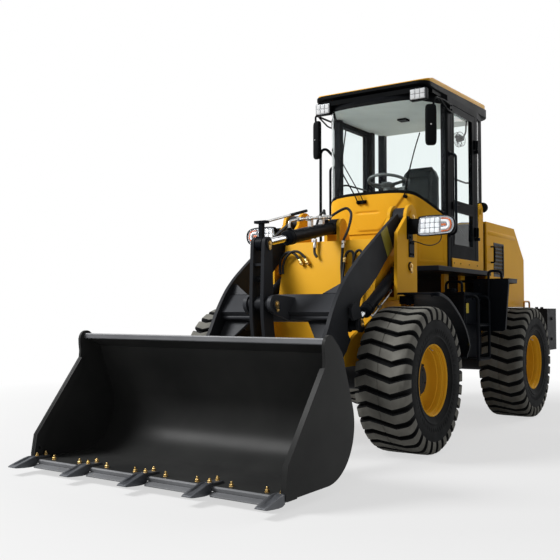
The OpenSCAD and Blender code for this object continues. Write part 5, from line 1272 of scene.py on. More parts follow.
# Pressed ribs on the cap: height, where they start and end along it, and (half width, share of the height)
RIB_RISE = 0.007
RIB_END_SHARES = (0.158, 0.163, 0.167, 0.172, 0.175, 0.935, 0.938, 0.943, 0.947, 0.952)
ROOF_RIBS = [(0.476, 0), (0.470, 0), (0.459, 1), (0.453, 1), (0.252, 1), (0.246, 1), (0.235, 0), (0.229, 0),
             (0.081, 0), (0.075, 0), (0.064, 1), (0.058, 1)]


def add_roof():
    bm = bmesh.new()
    rings = []
    for x in roof_stations(0.0, 0.10, 0.07):
        h = max(roof_half(x, 0.0, 0.10, 0.07), 0.3)
        top = cap_low(x) + 0.001
        low = 3.036 + 0.026 * (1 - ease((ROOF_FRONT - x) / 0.13))
        rings.append([(x, -h + 0.012, low), (x, -h, low + 0.010), (x, -h, top - 0.006), (x, -h + 0.008, top),
                      (x, h - 0.008, top), (x, h, top - 0.006), (x, h, low + 0.010), (x, h - 0.012, low)])
    loft(bm, rings)
    # Drip rail under the eaves and the fascia that carries the lamps
    for side in (1, -1):
        box(bm, (-1.60, side * 0.542, 3.006), (-0.30, side * 0.566, 3.040))
    prism(bm, [(-0.196, 3.040), (-0.170, 3.040), (-0.176, 2.998), (-0.190, 2.992)], 1, -0.500, 0.500)
    piece("roof_underside", bm, "rear_frame", [PLASTIC], 0.003, 35, ["roof_visor"], "black_plastic")
    bm = bmesh.new()
    rings = []
    rib_ends = [ROOF_FRONT - (ROOF_FRONT - ROOF_REAR) * share for share in RIB_END_SHARES]
    for x in sorted(roof_stations(0.012, 0.09, 0.06) + rib_ends, reverse=True):
        h = max(roof_half(x, 0.012, 0.09, 0.06), 0.3)
        low, top = cap_low(x) - 0.002, cap_high(x)
        r = min(0.028, (top - low) * 0.45)
        side = [(h, low)] + [(h - r + r * math.cos(a), top - r + r * math.sin(a))
                             for a in (PI * k / 12 for k in range(7))]
        panel = ease((back_share(x) - 0.16) / 0.012) * ease((0.95 - back_share(x)) / 0.012) * RIB_RISE
        side += [(min(y, h - r), top + panel * share) for y, share in ROOF_RIBS]
        rings.append([(x, -y, z) for y, z in side] + [(x, y, z) for y, z in side[::-1]])
    loft(bm, rings)
    piece("roof_cap", bm, "rear_frame", [YELLOW], angle=40, replaces=["cab_roof"], slot="yellow_paint")


def rounded_box_ring(x, low, high, corner, ease_steps=4):
    """A rounded rectangle across X, from its low to its high corner in Y and Z."""
    (y0, z0), (y1, z1) = low, high
    ring = []
    for cy, cz, start in ((y1 - corner, z1 - corner, 0), (y0 + corner, z1 - corner, 90),
                          (y0 + corner, z0 + corner, 180), (y1 - corner, z0 + corner, 270)):
        ring += [(x, y, z) for y, z in arc_points((cy, cz), corner, start, start + 90, ease_steps)]
    return ring


def rounded_block(bm, x0, x1, low, high, corner, edge=0.006, mat=0):
    """A box along X with rounded corners and eased ends."""
    (y0, z0), (y1, z1) = low, high
    rings = []
    way = edge if x1 > x0 else -edge
    for x, inset in ((x0, edge), (x0 + way, 0), (x1 - way, 0), (x1, edge)):
        rings.append(rounded_box_ring(x, (y0 + inset, z0 + inset), (y1 - inset, z1 - inset),
                                      max(corner - inset, 0.002)))
    loft(bm, rings, mat)


def add_work_lights():
    bm = bmesh.new()
    for side in (1, -1):
        y0, y1 = on_side(side, 0.405, 0.565)
        rounded_block(bm, -0.222, -0.164, (y0, 2.920), (y1, 3.030), 0.012)
        # Ribs behind, bracket above
        for k in range(7):
            y = y0 + 0.016 + k * 0.0213
            box(bm, (-0.236, y - 0.003, 2.930), (-0.220, y + 0.003, 3.020))
        box(bm, (-0.205, side * 0.485 - 0.020, 3.024), (-0.175, side * 0.485 + 0.020, 3.040))
        rounded_block(bm, -0.1668, -0.1635, (y0 + 0.008, 2.928), (y1 - 0.008, 3.022), 0.008, 0.001, 1)
        for i in range(3):
            for j in range(2):
                a, b = y0 + 0.0125 + i * 0.0460, 2.932 + j * 0.0440
                rounded_block(bm, -0.1640, -0.1575, (a, b), (a + 0.0425, b + 0.0410), 0.007, 0.004, 2)
    piece("led_work_lights", bm, "rear_frame", [PLASTIC, REFLECTOR, LAMP_WHITE], 0.0015, 35, ["work_lights"],
          "black_plastic")


LEAD_D = 0.0084
LEAD_ROUTE = [(0.285, 0.880, 1.680), (0.285, 0.880, 1.648), (0.284, 0.855, 1.612), (0.282, 0.800, 1.594),
              (0.280, 0.740, 1.600), (0.278, 0.690, 1.618), (0.277, 0.650, 1.630), (0.277, 0.606, 1.630)]
LAMP_OUTLINE = [(0.688, 1.700), (0.700, 1.806), (0.724, 1.828), (0.86, 1.8315), (0.955, 1.823), (1.000, 1.800),
                (1.0165, 1.755), (1.006, 1.707), (0.972, 1.677), (0.86, 1.668), (0.74, 1.6655), (0.700, 1.674)]
# Steps along X with the outline's share in width and height
LAMP_BODY = [(0.226, 0.46, 0.42), (0.236, 0.60, 0.60), (0.262, 0.84, 0.86), (0.292, 0.965, 0.97), (0.312, 1.0, 1.0),
             (0.326, 1.0, 1.0), (0.333, 0.985, 0.97), (0.334, 0.945, 0.905), (0.328, 0.930, 0.885),
             (0.322, 0.925, 0.875)]
LAMP_RING = [(0.900, 1.800), (0.955, 1.797), (0.978, 1.775), (0.980, 1.728), (0.958, 1.703), (0.900, 1.698)]
LAMP_TUBE = [(0.900, 1.781), (0.945, 1.779), (0.961, 1.765), (0.962, 1.735), (0.945, 1.720), (0.900, 1.717)]


def add_headlights():
    bm = bmesh.new()
    for side, name in ((1, "left"), (-1, "right")):
        shape = smooth_loop([(side * y, z) for y, z in LAMP_OUTLINE], 5)
        middle = (side * 0.855, 1.748)

        def skin(steps, mat=0):
            """A skin over the lamp's outline, scaled at each step along X."""
            loft(bm, [[(x, middle[0] + (y - middle[0]) * wide, middle[1] + (z - middle[1]) * high) for y, z in shape]
                      for x, wide, high in steps], mat)
        skin(LAMP_BODY)
        # Reflector behind the lens, LED cells, and the outer lamp's ring
        skin(((0.318, 0.90, 0.84), (0.3245, 0.926, 0.872)), 1)
        for i in range(4):
            for j in range(3):
                a = 0.722 + i * 0.0405 + j * 0.0015
                b = 1.690 + j * 0.0405
                y0, y1 = on_side(side, a, a + 0.0375)
                rounded_block(bm, 0.323, 0.3315, (y0, b), (y1, b + 0.0375), 0.008, 0.004, 2)
        for line, corner, radius, mat in ((LAMP_RING, 0.016, 0.0062, 3), (LAMP_TUBE, 0.012, 0.0125, 2)):
            sweep(bm, rounded([(0.3285, side * y, z) for y, z in line], corner, 5), radius, 10, mat)
        y0, y1 = on_side(side, 0.897, 0.938)
        rounded_block(bm, 0.323, 0.3325, (y0, 1.742), (y1, 1.757), 0.006, 0.003, 3)
        skin(((0.333, 0.944, 0.904), (0.3405, 0.925, 0.875), (0.3445, 0.87, 0.77)), 4)
        # Foot on the frame and its bolts
        prism(bm, [(0.262, 1.700), (0.300, 1.688), (0.310, 1.760), (0.300, 1.815), (0.262, 1.808)], 1, side * 0.604,
              side * 0.720)
        box(bm, (0.235, side * 0.602, 1.648), (0.335, side * 0.6125, 1.836))
        for z in (1.668, 1.818):
            bolt(bm, (0.285, side * 0.612, z), (0, side, 0), 0.011)
        # Lead from the lamp to the tower
        path = spline([(x, side * y, z) for x, y, z in LEAD_ROUTE], 6)
        cable = bmesh.new()
        sweep(cable, path, LEAD_D / 2, 10)
        lead = piece(f"{name}_headlight_lead", cable, "front_frame", [HOSE], angle=60)
        length = sum((b - a).length for a, b in zip(path, path[1:]))
        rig.cord(lead, exit=path[0], length=length, diameter=LEAD_D, far_end="object", stiffness="limp", lay="hanging",
                path=path)
    piece("headlight_units", bm, "front_frame", [PLASTIC, REFLECTOR, LAMP_WHITE, AMBER, LENS], 0.0015, 38,
          ["headlights"],
          "black_plastic")


MIRROR_YAW = math.radians(28)
# Shares of the mirror housing's height and the share of its full size there
MIRROR_STEPS = ((0.0, 0.55), (0.02, 0.80), (0.06, 0.95), (0.14, 1.0), (0.86, 1.0), (0.94, 0.95), (0.98, 0.80),
                (1.0, 0.55))


def squared(v, power):
    """A sine or cosine bent towards a square's side."""
    return math.copysign(abs(v) ** power, v)


def add_mirrors():
    bm = bmesh.new()
    for side in (1, -1):
        def at(x, y, z):
            return (x, side * y, z)
        # Bracket on the pillar, bent tube and its stay
        box(bm, at(-0.640, 0.598, 2.880), at(-0.565, 0.624, 2.965))
        tube = rounded([at(-0.602, 0.618, 2.945), at(-0.430, 0.628, 2.952), at(-0.236, 0.612, 2.948),
                        at(-0.226, 0.585, 2.70)], 0.05, 6)
        sweep(bm, tube, 0.0095, 12)
        sweep(bm, rounded([at(-0.602, 0.618, 2.885), at(-0.500, 0.624, 2.888), at(-0.330, 0.624, 2.944)], 0.02, 5),
              0.0075, 10)
        for z in (2.905, 2.945):
            bolt(bm, at(-0.602, 0.6245, z), (0, side, 0), 0.010)

        def turned(dx, dy, z):
            """A place on the housing, which is turned towards the operator."""
            c, s = math.cos(MIRROR_YAW), math.sin(MIRROR_YAW)
            return at(-0.224 + dx * c - dy * s, 0.582 + dx * s + dy * c, z)
        # Clamp and housing
        rod_between(bm, at(-0.226, 0.585, 2.735), at(-0.226, 0.585, 2.665), 0.017, 16)
        rings = []
        for t, s in MIRROR_STEPS:
            z = 2.519 + 0.362 * t
            ring = []
            for k in range(28):
                a = 2 * PI * k / 28
                dx = max(squared(math.cos(a), 0.6) * 0.027 * s, -0.018)
                ring.append(turned(dx, squared(math.sin(a), 0.5) * (0.050 * s), z))
            rings.append(ring)
        loft(bm, rings)
        rings = []
        for x, s in ((-0.0175, 1.0), (-0.0195, 0.97)):
            ring = rounded_box_ring(x, (-0.043 * s, 2.700 - 0.160 * s), (0.043 * s, 2.700 + 0.160 * s), 0.022)
            rings.append([turned(*q) for q in ring])
        loft(bm, rings, 1)
        bolt(bm, turned(0.0265, 0.0, 2.700), Vector(turned(1, 0, 0)) - Vector(turned(0, 0, 0)), 0.0075, 2)
    piece("side_mirrors", bm, "rear_frame", [PLASTIC, MIRROR, SILVER], 0.0012, 38, ["mirrors"], "black_plastic")


def add_wipers():
    bm = bmesh.new()
    glass = nose_line(-0.006, 10)

    def on_glass(y, z, lift=0.0):
        """A place just outside the windshield."""
        line = sorted(glass, key=lambda p: p[1])
        x = between([(p[1], p[0]) for p in line], y)
        return Vector((x + lift, y, z))

    def arm(knots, radius):
        sweep(bm, spline([on_glass(*k) for k in knots], 6), radius, 8)

    def blade(start, run, lift, radii):
        """A blade and its rubber lip, straight on the glass."""
        line = [on_glass(start[0] + run[0] * k / 12, start[1] + run[1] * k / 12, lift) for k in range(13)]
        for back, radius in zip((0.0, -0.007), radii):
            sweep(bm, [p + Vector((back, 0, 0)) for p in line], radius, 8)

    def pivot(foot, radius):
        rod_between(bm, foot - Vector((0.024, 0, 0)), foot + Vector((0.020, 0, 0)), radius, 18)
    # Pair of arms on the cowl and their blade
    for y in (-0.100, -0.040):
        foot = on_glass(y, 2.056, 0.014)
        pivot(foot, 0.017)
        rod_between(bm, foot + Vector((0.018, 0, 0)), foot + Vector((0.028, 0, 0)), 0.011, 6)
    box(bm, on_glass(-0.118, 2.040, -0.004), on_glass(-0.022, 2.072, 0.020))
    arm(((-0.100, 2.058, 0.036), (-0.135, 2.135, 0.042), (-0.255, 2.330, 0.038), (-0.292, 2.412, 0.026)), 0.0062)
    arm(((-0.040, 2.058, 0.036), (-0.078, 2.135, 0.040), (-0.235, 2.390, 0.034), (-0.284, 2.466, 0.024)), 0.0050)
    blade((-0.327, 2.176), (0.091, 0.570), 0.012, (0.0052, 0.0034))
    box(bm, on_glass(-0.300, 2.405, 0.006), on_glass(-0.276, 2.472, 0.030))
    # Long single wiper on the left
    pivot(on_glass(0.352, 2.080, 0.012), 0.015)
    blade((0.356, 2.150), (0.105, 0.500), 0.011, (0.0050, 0.0032))
    arm(((0.352, 2.080, 0.026), (0.362, 2.150, 0.030), (0.396, 2.330, 0.020), (0.404, 2.375, 0.014)), 0.0052)
    piece("wipers", bm, "rear_frame", [PLASTIC], 0.0008, 40)


def add_grab_rails():
    bm = bmesh.new()
    # Tall rail from the deck at the right front corner
    sweep(bm, rounded([(-0.345, -0.618, 1.462), (-0.345, -0.618, 2.620), (-0.440, -0.612, 2.660),
                       (-0.590, -0.596, 2.585)], 0.09, 8),
          0.0135, 12)
    capped(bm, [(0.030, 0.0), (0.030, 0.008), (0.016, 0.012)], (-0.345, -0.618, 1.4595), (0, 0, 1), 20)
    capped(bm, [(0.026, 0.0), (0.026, 0.008), (0.015, 0.014)], (-0.590, -0.5985, 2.587), (0.5, -0.8, 0.2), 20)
    # Handles beside the doors
    for side in (1, -1):
        sweep(bm, rounded([(-0.604, side * 0.600, 1.760), (-0.604, side * 0.660, 1.775), (-0.604, side * 0.660, 2.490),
                           (-0.604, side * 0.600, 2.505)], 0.045, 6), 0.0125, 12)
        for z in (1.760, 2.505):
            capped(bm, [(0.024, -0.002), (0.024, 0.007), (0.014, 0.011)], (-0.604, side * 0.600, z), (0, side, 0), 18)
    piece("grab_rails", bm, "rear_frame", [BLACK], angle=50)


add_cowl()
add_roof()
add_work_lights()
add_headlights()
add_mirrors()
add_wipers()
add_grab_rails()


# Fenders, side boxes, ladders, hood, counterweight, doors and towers

PLATE = finish_of("blank_plate", (0.62, 0.47, 0.03), (0.70, 0.54, 0.04), (0.35, 0.45), 12.0, 0.1, 400)
HANDLE = finish_of("handle_paint", (0.60, 0.24, 0.02), (0.72, 0.32, 0.03), (0.3, 0.42), 8.0, 0.1, 400)
DARK_MESH = finish_of("vent_mesh", (0.006, 0.006, 0.007), (0.012, 0.012, 0.013), (0.45, 0.6), 9.0, 0.2, 400, spec=0.2)

FENDER_LINE = [(0.606, 1.196), (0.585, 1.2085), (0.5076, 1.2025), (0.3798, 1.1680), (0.2591, 1.1100), (0.1313, 1.0305),
               (0.0248, 0.9437), (-0.040, 0.862), (-0.080, 0.780), (-0.101, 0.684)]
FENDER_IN, FENDER_OUT = 0.642, 0.983


def add_front_fenders():
    bm = bmesh.new()
    line = spline([(x, 0, z) for x, z in FENDER_LINE], 6)
    for side in (1, -1):
        rings = []
        for i, p in enumerate(line):
            t = (line[min(i + 1, len(line) - 1)] - line[max(i - 1, 0)]).normalized()
            n = Vector((t.z, 0, -t.x)) * (1 if t.x < 0 else -1)
            n = -n if n.z > 0 else n
            far = FENDER_OUT - 0.055 * (1 - ease(i / 7)) - 0.030 * (1 - ease((len(line) - 1 - i) / 6))
            shape = [(FENDER_IN, 0), (far - 0.012, 0), (far - 0.003, 0.004), (far, 0.013), (far, 0.030),
                     (far - 0.006, 0.030),
                     (far - 0.006, 0.014), (far - 0.013, 0.007), (FENDER_IN, 0.007)]
            rings.append([(p.x + n.x * h, side * y, p.z + n.z * h) for y, h in shape])
        loft(bm, rings)
        # Bracket to the tower and its bolts
        prism(bm, [(0.385, 1.120), (0.475, 1.120), (0.475, 1.184), (0.385, 1.158)], 1, side * 0.601, side * 0.690)
        for x in (0.405, 0.455):
            bolt(bm, (x, side * 0.66, 1.1205), (0, 0, -1), 0.010)
            bolt(bm, (x - 0.002, side * 0.69, 1.168 + (x - 0.38) * 0.27), (-0.26, 0, 0.97), 0.010)
    piece("front_mudguards", bm, "front_frame", [BLACK], 0.0012, 40, ["front_fenders"], "black_paint")


GUARD_FRONT = [(0.645, 0.875), (0.925, 0.875), (0.945, 0.890), (0.982, 1.340), (0.978, 1.366), (0.960, 1.369),
               (0.645, 1.369)]
GUARD_TOP = [(-1.076, 0.645), (-1.076, 0.965), (-1.090, 0.982), (-1.340, 0.982), (-1.630, 0.800), (-1.652, 0.770),
             (-1.652, 0.645)]
GUARD_LIP = [(-1.088, 0.979), (-1.340, 0.979), (-1.630, 0.797), (-1.626, 0.791), (-1.338, 0.972), (-1.088, 0.972)]


def add_rear_fenders():
    bm = bmesh.new()
    for side in (1, -1):
        plate(bm, [(side * y, z) for y, z in GUARD_FRONT], 0, -1.084, -1.076)
        # Turned edge along the front plate's outer side
        a, b = (-1.082, side * 0.945, 0.890), (-1.082, side * 0.981, 1.340)
        loft(bm, [[(q[0] - back, q[1] - side * deep, q[2]) for q, back in ((a, 0), (b, 0), (b, 0.030), (a, 0.030))]
                  for deep in (0, 0.006)])
        plate(bm, [(x, side * y) for x, y in GUARD_TOP], 2, 1.362, 1.3695)
        # Stiffening lip under the slanting edge, stays to the frame
        plate(bm, [(x, side * y) for x, y in GUARD_LIP], 2, 1.328, 1.364)
        for x in (-1.135, -1.46):
            box(bm, (x - 0.022, side * 0.50, 1.338), (x + 0.022, side * 0.72, 1.362))
        # Bent tube handle on the front plate
        tube = rounded([(-1.070, side * 0.790, 1.085), (-1.050, side * 0.795, 1.120), (-1.048, side * 0.800, 1.440),
                        (-1.060, side * 0.915, 1.440),
                        (-1.085, side * 0.915, 1.366)], 0.035, 6)
        sweep(bm, tube, 0.0125, 12)
        for y, z in ((0.70, 1.31), (0.70, 0.94), (0.88, 0.94)):
            bolt(bm, (-1.076, side * y, z), (1, 0, 0), 0.010)
    piece("rear_mudguards", bm, "rear_frame", [BLACK], 0.0015, 38, ["rear_fenders"], "black_paint")


TANK = ((-1.073, 0.425), (-0.607, 0.728))


def add_side_boxes():
    bm = bmesh.new()
    (x0, y0), (x1, y1) = TANK
    for side in (1, -1):
        section = [(x0 + 0.012, 0.770), (x1 - 0.006, 0.770), (x1 - 0.006, 1.205), (x0 + 0.012, 1.205)]
        prism(bm, section, 1, side * y0, side * (y1 - 0.006))
        prism(bm, [(x0 + 0.030, 0.630), (x1 - 0.040, 0.630), (x1 - 0.006, 0.690), (x1 - 0.006, 0.772),
                   (x0 + 0.012, 0.772),
                   (x0 + 0.012, 0.660)], 1, side * 0.537, side * (y1 - 0.006))
        # Lid with a turned edge, its seal, hinges and handle
        a, b = on_side(side, y0 + 0.004, y1)
        box(bm, (x0, a, 1.206), (x1, b, 1.234))
        box(bm, (x0 + 0.03, a + 0.03, 1.198), (x1 - 0.03, b - 0.03, 1.210))
        sweep(bm, rounded([(-0.745, side * 0.500, 1.230), (-0.745, side * 0.500, 1.335), (-0.745, side * 0.655, 1.335),
                           (-0.745, side * 0.655, 1.230)], 0.04, 6), 0.0125, 12)
        for y in (0.500, 0.655):
            capped(bm, [(0.024, 0.0), (0.024, 0.006), (0.014, 0.009)], (-0.745, side * y, 1.233), (0, 0, 1), 16)
        capped(bm, [(0.044, 0.0), (0.044, 0.030), (0.040, 0.036), (0.020, 0.040)], (-0.690, side * 0.580, 1.232),
               (0, 0, 1), 28)
        for k in range(8):
            turn = 2 * PI * k / 8
            x, y = -0.690 + 0.043 * math.cos(turn), side * 0.580 + 0.043 * math.sin(turn)
            box(bm, (x - 0.004, y - 0.004, 1.236), (x + 0.004, y + 0.004, 1.264))
        # Pressed frame on the outer side, latch
        o = side * (y1 - 0.0055)
        ring = [(x0 + 0.04, 0.80), (x1 - 0.03, 0.80), (x1 - 0.03, 1.17), (x0 + 0.04, 1.17)]
        hole = [(x0 + 0.06, 0.82), (x1 - 0.05, 0.82), (x1 - 0.05, 1.15), (x0 + 0.06, 1.15)]
        plate(bm, ring, 1, o, o + side * 0.005, holes=[hole])
        box(bm, (-0.86, o, 1.168), (-0.82, o + side * 0.012, 1.206))
        for z in (0.83, 1.14):
            bolt(bm, (x0 + 0.05, o + side * 0.005, z), (0, side, 0), 0.009)
            bolt(bm, (x1 - 0.04, o + side * 0.005, z), (0, side, 0), 0.009)
        # Straps to the frame rail
        for x in (x0 + 0.10, x1 - 0.10):
            box(bm, (x - 0.03, side * 0.400, 0.90), (x + 0.03, side * (y0 + 0.02), 1.05))
    piece("side_boxes", bm, "rear_frame", [BLACK], 0.004, 35, ["side_tanks"], "black_paint")
    bm = bmesh.new()
    for side in (1, -1):
        box(bm, (-0.722, side * (y1 - 0.001), 1.045), (-0.640, side * (y1 - 0.008), 1.135))
    piece("blank_plates", bm, "rear_frame", [PLATE], 0.001, 35)


STEP_X = -0.830


def add_ladders():
    bm = bmesh.new()
    for side in (1, -1):
        for x in (-0.683, -0.977):
            tube = rounded([(x, side * 0.826, 0.618), (x, side * 0.826, 1.196), (x, side * 0.724, 1.196)], 0.060, 7)
            sweep(bm, tube, 0.0135, 14)
            capped(bm, [(0.022, 0.0), (0.022, 0.008), (0.014, 0.011)], (x, side * 0.726, 1.196), (0, side, 0), 16)
        for z, wide in ((0.617, 0.150), (0.927, 0.147)):
            y0, y1 = 0.729, 0.838
            half = [(wide, y0), (wide, y1 - 0.022), (wide - 0.020, y1)]
            outline = [(STEP_X - w, side * y) for w, y in half] + [(STEP_X + w, side * y) for w, y in half[::-1]]
            holes = [circle((STEP_X - 0.105 + 0.042 * i, side * (0.756 + 0.048 * j)), 0.0125, 12)
                     for i in range(6) for j in range(2)]
            plate(bm, outline, 2, z + 0.012, z + 0.020, holes=holes)
            for i in range(5):
                for j in range(2):
                    p = (STEP_X - 0.084 + 0.042 * i, side * (0.756 + 0.048 * j), z + 0.0195)
                    lathe(bm, [(0.0105, 0.0), (0.0090, 0.005), (0.0065, 0.005), (0.0055, 0.0)], p, (0, 0, 1), 12)
            box(bm, (STEP_X - wide + 0.02, side * (y1 - 0.006), z - 0.002),
                (STEP_X + wide - 0.02, side * y1, z + 0.022))
        # Stays from the rails to the box
        for x in (-0.683, -0.977):
            box(bm, (x - 0.012, side * 0.722, 0.640), (x + 0.012, side * 0.826, 0.652))
    piece("ladders", bm, "rear_frame", [BLACK], 0.0010, 38, ["boarding_steps"], "black_paint")


# Sections of the pressed ribs on the hood: way across, height
TOP_RIB = [(-0.070, 0.0), (-0.052, 0.009), (0.052, 0.009), (0.070, 0.0), (0.0, -0.004)]
SIDE_RIB = [(-0.024, 0.0), (-0.012, 0.006), (0.012, 0.006), (0.024, 0.0), (0.0, -0.004)]


def add_hood_details():
    bm = bmesh.new()
    # Perforated side vents
    for side in (1, -1):
        holes = [circle((-2.0615 + i * 0.0390, 1.4575 + j * 0.0393), 0.0135, 10) for i in range(7) for j in range(8)]
        o = side * 0.5905
        plate(bm, [(-2.0945, 1.4305), (-1.7955, 1.4305), (-1.7955, 1.7595), (-2.0945, 1.7595)], 1, o, o + side * 0.005,
              holes=holes)
        frame_out = [(-2.106, 1.419), (-1.784, 1.419), (-1.784, 1.771), (-2.106, 1.771)]
        frame_in = [(-2.090, 1.435), (-1.800, 1.435), (-1.800, 1.755), (-2.090, 1.755)]
        plate(bm, frame_out, 1, side * 0.5885, side * 0.6035, holes=[frame_in])
    # Slats of the rear grille and its frame
    for k in range(13):
        z = 1.200 + k * 0.0305
        prism(bm, [(-2.8145, z), (-2.8005, z + 0.022), (-2.7985, z + 0.020), (-2.8125, z - 0.002)], 1, -0.372, 0.372)
    out = [(-0.396, 1.170), (0.396, 1.170), (0.396, 1.602), (-0.396, 1.602)]
    inn = [(-0.372, 1.192), (0.372, 1.192), (0.372, 1.580), (-0.372, 1.580)]
    plate(bm, out, 0, -2.8165, -2.797, holes=[inn])
    for y in (-0.124, 0.124):
        box(bm, (-2.816, y - 0.006, 1.19), (-2.800, y + 0.006, 1.582))
    piece("hood_vents", bm, "hood", [DARK_MESH], 0.0008, 35, slot="black_plastic")
    bm = bmesh.new()
    # Tail lamps, latches and handles
    for side in (1, -1):
        y0, y1 = on_side(side, 0.425, 0.560)
        rounded_block(bm, -2.806, -2.842, (y0, 1.300), (y1, 1.500), 0.016, 0.005)
        rounded_block(bm, -2.840, -2.850, (y0 + 0.010, 1.404), (y1 - 0.010, 1.490), 0.012, 0.004, 1)
        rounded_block(bm, -2.840, -2.850, (y0 + 0.010, 1.310), (y1 - 0.010, 1.396), 0.012, 0.004, 2)
        # Side latch and grip near the cab
        box(bm, (-1.640, side * 0.598, 1.240), (-1.600, side * 0.607, 1.320))
        sweep(bm, rounded([(-1.700, side * 0.600, 1.560), (-1.700, side * 0.640, 1.560), (-1.700, side * 0.640, 1.720),
                           (-1.700, side * 0.600, 1.720)], 0.018, 5), 0.0085, 10)
    # Filler cap on the top
    capped(bm, [(0.062, 0.0), (0.062, 0.014), (0.056, 0.020), (0.020, 0.0225)], (-1.74, 0.30, 1.9685), (0, 0, 1), 32)
    piece("hood_fittings", bm, "hood", [PLASTIC, RED, AMBER], 0.0012, 38)
    # Pressed ribs on the hood's top and sides
    bm = bmesh.new()
    for y in (-0.34, 0.0, 0.34):
        loft(bm, [[(x, y + w * s, 1.969 + h * s) for w, h in TOP_RIB]
                  for x, s in ((-2.400, 0.55), (-2.372, 1.0), (-1.862, 1.0), (-1.834, 0.55))])
    for side in (1, -1):
        loft(bm, [[(x, side * 0.5995 + side * h * s, 1.862 + w * s) for w, h in SIDE_RIB]
                  for x, s in ((-2.500, 0.5), (-2.480, 1.0), (-1.632, 1.0), (-1.612, 0.5))])
    piece("hood_ribs", bm, "hood", [YELLOW], 0.0015, 30, slot="yellow_paint")


def add_counterweight_details():
    bm = bmesh.new()
    for side in (1, -1):
        tube = rounded([(-2.540, side * 0.680, 1.085), (-2.540, side * 0.680, 1.168), (-2.735, side * 0.680, 1.168),
                        (-2.735, side * 0.680, 1.085)],
                       0.035, 6)
        sweep(bm, tube, 0.0105, 12)
    piece("weight_handles", bm, "rear_frame", [HANDLE], angle=50)
    bm = bmesh.new()
    # Tow hitch pocket plates and pin, bolts on top
    for y in (-0.075, 0.075):
        plate(bm, [(-2.936, 0.80), (-2.936, 0.95), (-2.86, 0.98), (-2.86, 0.78)], 1, y - 0.012, y + 0.012)
    rod_between(bm, (-2.915, 0, 0.765), (-2.915, 0, 1.000), 0.017, 20)
    sweep(bm, rounded([(-2.915, 0, 0.998), (-2.915, 0, 1.030), (-2.885, 0.0, 1.030), (-2.885, 0, 1.005)], 0.01, 4),
          0.007, 8)
    for side in (1, -1):
        for x in (-2.60, -2.80):
            bolt(bm, (x, side * 0.80, 1.0895), (0, 0, 1), 0.020)
        for z in (0.76, 0.98):
            bolt(bm, (-2.62, side * 0.9495, z), (0, side, 0), 0.020)
    piece("weight_fittings", bm, "rear_frame", [IRON], 0.0015, 35)


def add_door_details():
    for side, door in ((1, "left_door"), (-1, "right_door")):
        bm = bmesh.new()
        o = side * 0.600
        # Latch with its lever, seal strips, two inner bars
        box(bm, (-0.760, o - side * 0.004, 2.000), (-0.660, o + side * 0.014, 2.068))
        sweep(bm, rounded([(-0.680, o + side * 0.010, 2.036), (-0.684, o + side * 0.030, 2.036),
                           (-0.752, o + side * 0.030, 2.036),
                           (-0.756, o + side * 0.010, 2.036)], 0.010, 4), 0.0075, 10)
        capped(bm, [(0.010, 0.0), (0.010, 0.006), (0.007, 0.008)], (-0.700, o + side * 0.013, 2.012), (0, side, 0), 16,
               1)
        for z0, z1 in ((1.671, 1.990), (2.080, 2.915)):
            outer = [(-1.198, z0 - 0.006), (-0.697, z0 - 0.006), (-0.697, z1 + 0.006), (-1.198, z1 + 0.006)]
            inner = [(-1.182, z0 + 0.010), (-0.713, z0 + 0.010), (-0.713, z1 - 0.010), (-1.182, z1 - 0.010)]
            plate(bm, outer, 1, o - side * 0.006, o + side * 0.003, holes=[inner])
        for y, z0, z1 in ((0.520, 2.320, 2.320), (0.522, 1.760, 2.030)):
            sweep(bm, rounded([(-1.215, side * 0.562, z0), (-1.215, side * y, z0), (-0.690, side * y, z1),
                               (-0.690, side * 0.562, z1)], 0.02, 5), 0.009, 10)
        piece(door + "_fittings", bm, door, [PLASTIC, SILVER], 0.0012, 38)


def add_sill_covers():
    """Yellow covers on the cab's sills, under the doors, with a folded top edge and screws."""
    bm, screws = bmesh.new(), bmesh.new()
    for side in (1, -1):
        outline = [(0.6006, 1.4622), (0.6006, 1.548), (0.5985, 1.5502), (0.6045, 1.5502), (0.6075, 1.547),
                   (0.6075, 1.4622)]
        prism(bm, [(side * y, z) for y, z in outline], 0, -1.327, -0.640)
        for x in (-1.28, -1.06, -0.84, -0.68):
            bolt(screws, (x, side * 0.6075, 1.505), (0, side, 0), 0.006)
    piece("sill_covers", bm, "rear_frame", [YELLOW], 0.001, 35)
    piece("sill_screws", screws, "rear_frame", [PLASTIC], 0.0006, 38)


def add_door_catches():
    bm, rubber = bmesh.new(), bmesh.new()
    for side in (1, -1):
        y = side * 0.586
        outline = [(-1.330, 1.462), (-1.500, 1.462), (-1.505, 2.040), (-1.495, 2.105), (-1.462, 2.138),
                   (-1.425, 2.138), (-1.400, 2.108),
                   (-1.385, 2.010), (-1.352, 1.86)]
        plate(bm, outline, 1, y - 0.006, y + 0.006, holes=[circle((-1.455, 2.082), 0.014, 16)])
        box(bm, (-1.412, y, 2.020), (-1.392, y + side * 0.030, 2.075))
        bolt(rubber, (-1.425, y + side * 0.006, 2.045), (0, side, 0), 0.014, 1)
        bolt(rubber, (-1.470, y + side * 0.006, 1.980), (0, side, 0), 0.012, 1)
        capped(rubber, [(0.030, -0.030), (0.048, -0.020), (0.052, 0.0), (0.048, 0.020), (0.030, 0.030)],
               (-1.548, y - side * 0.012, 2.110), (1, 0, 0.2), 28)
        rod_between(rubber, (-1.545, y - side * 0.012, 2.108), (-1.495, y, 2.095), 0.012, 14)
    piece("door_catches", bm, "rear_frame", [YELLOW], 0.002, 35)
    piece("catch_buffers", rubber, "rear_frame", [PLASTIC, GOLD], 0.001, 38)


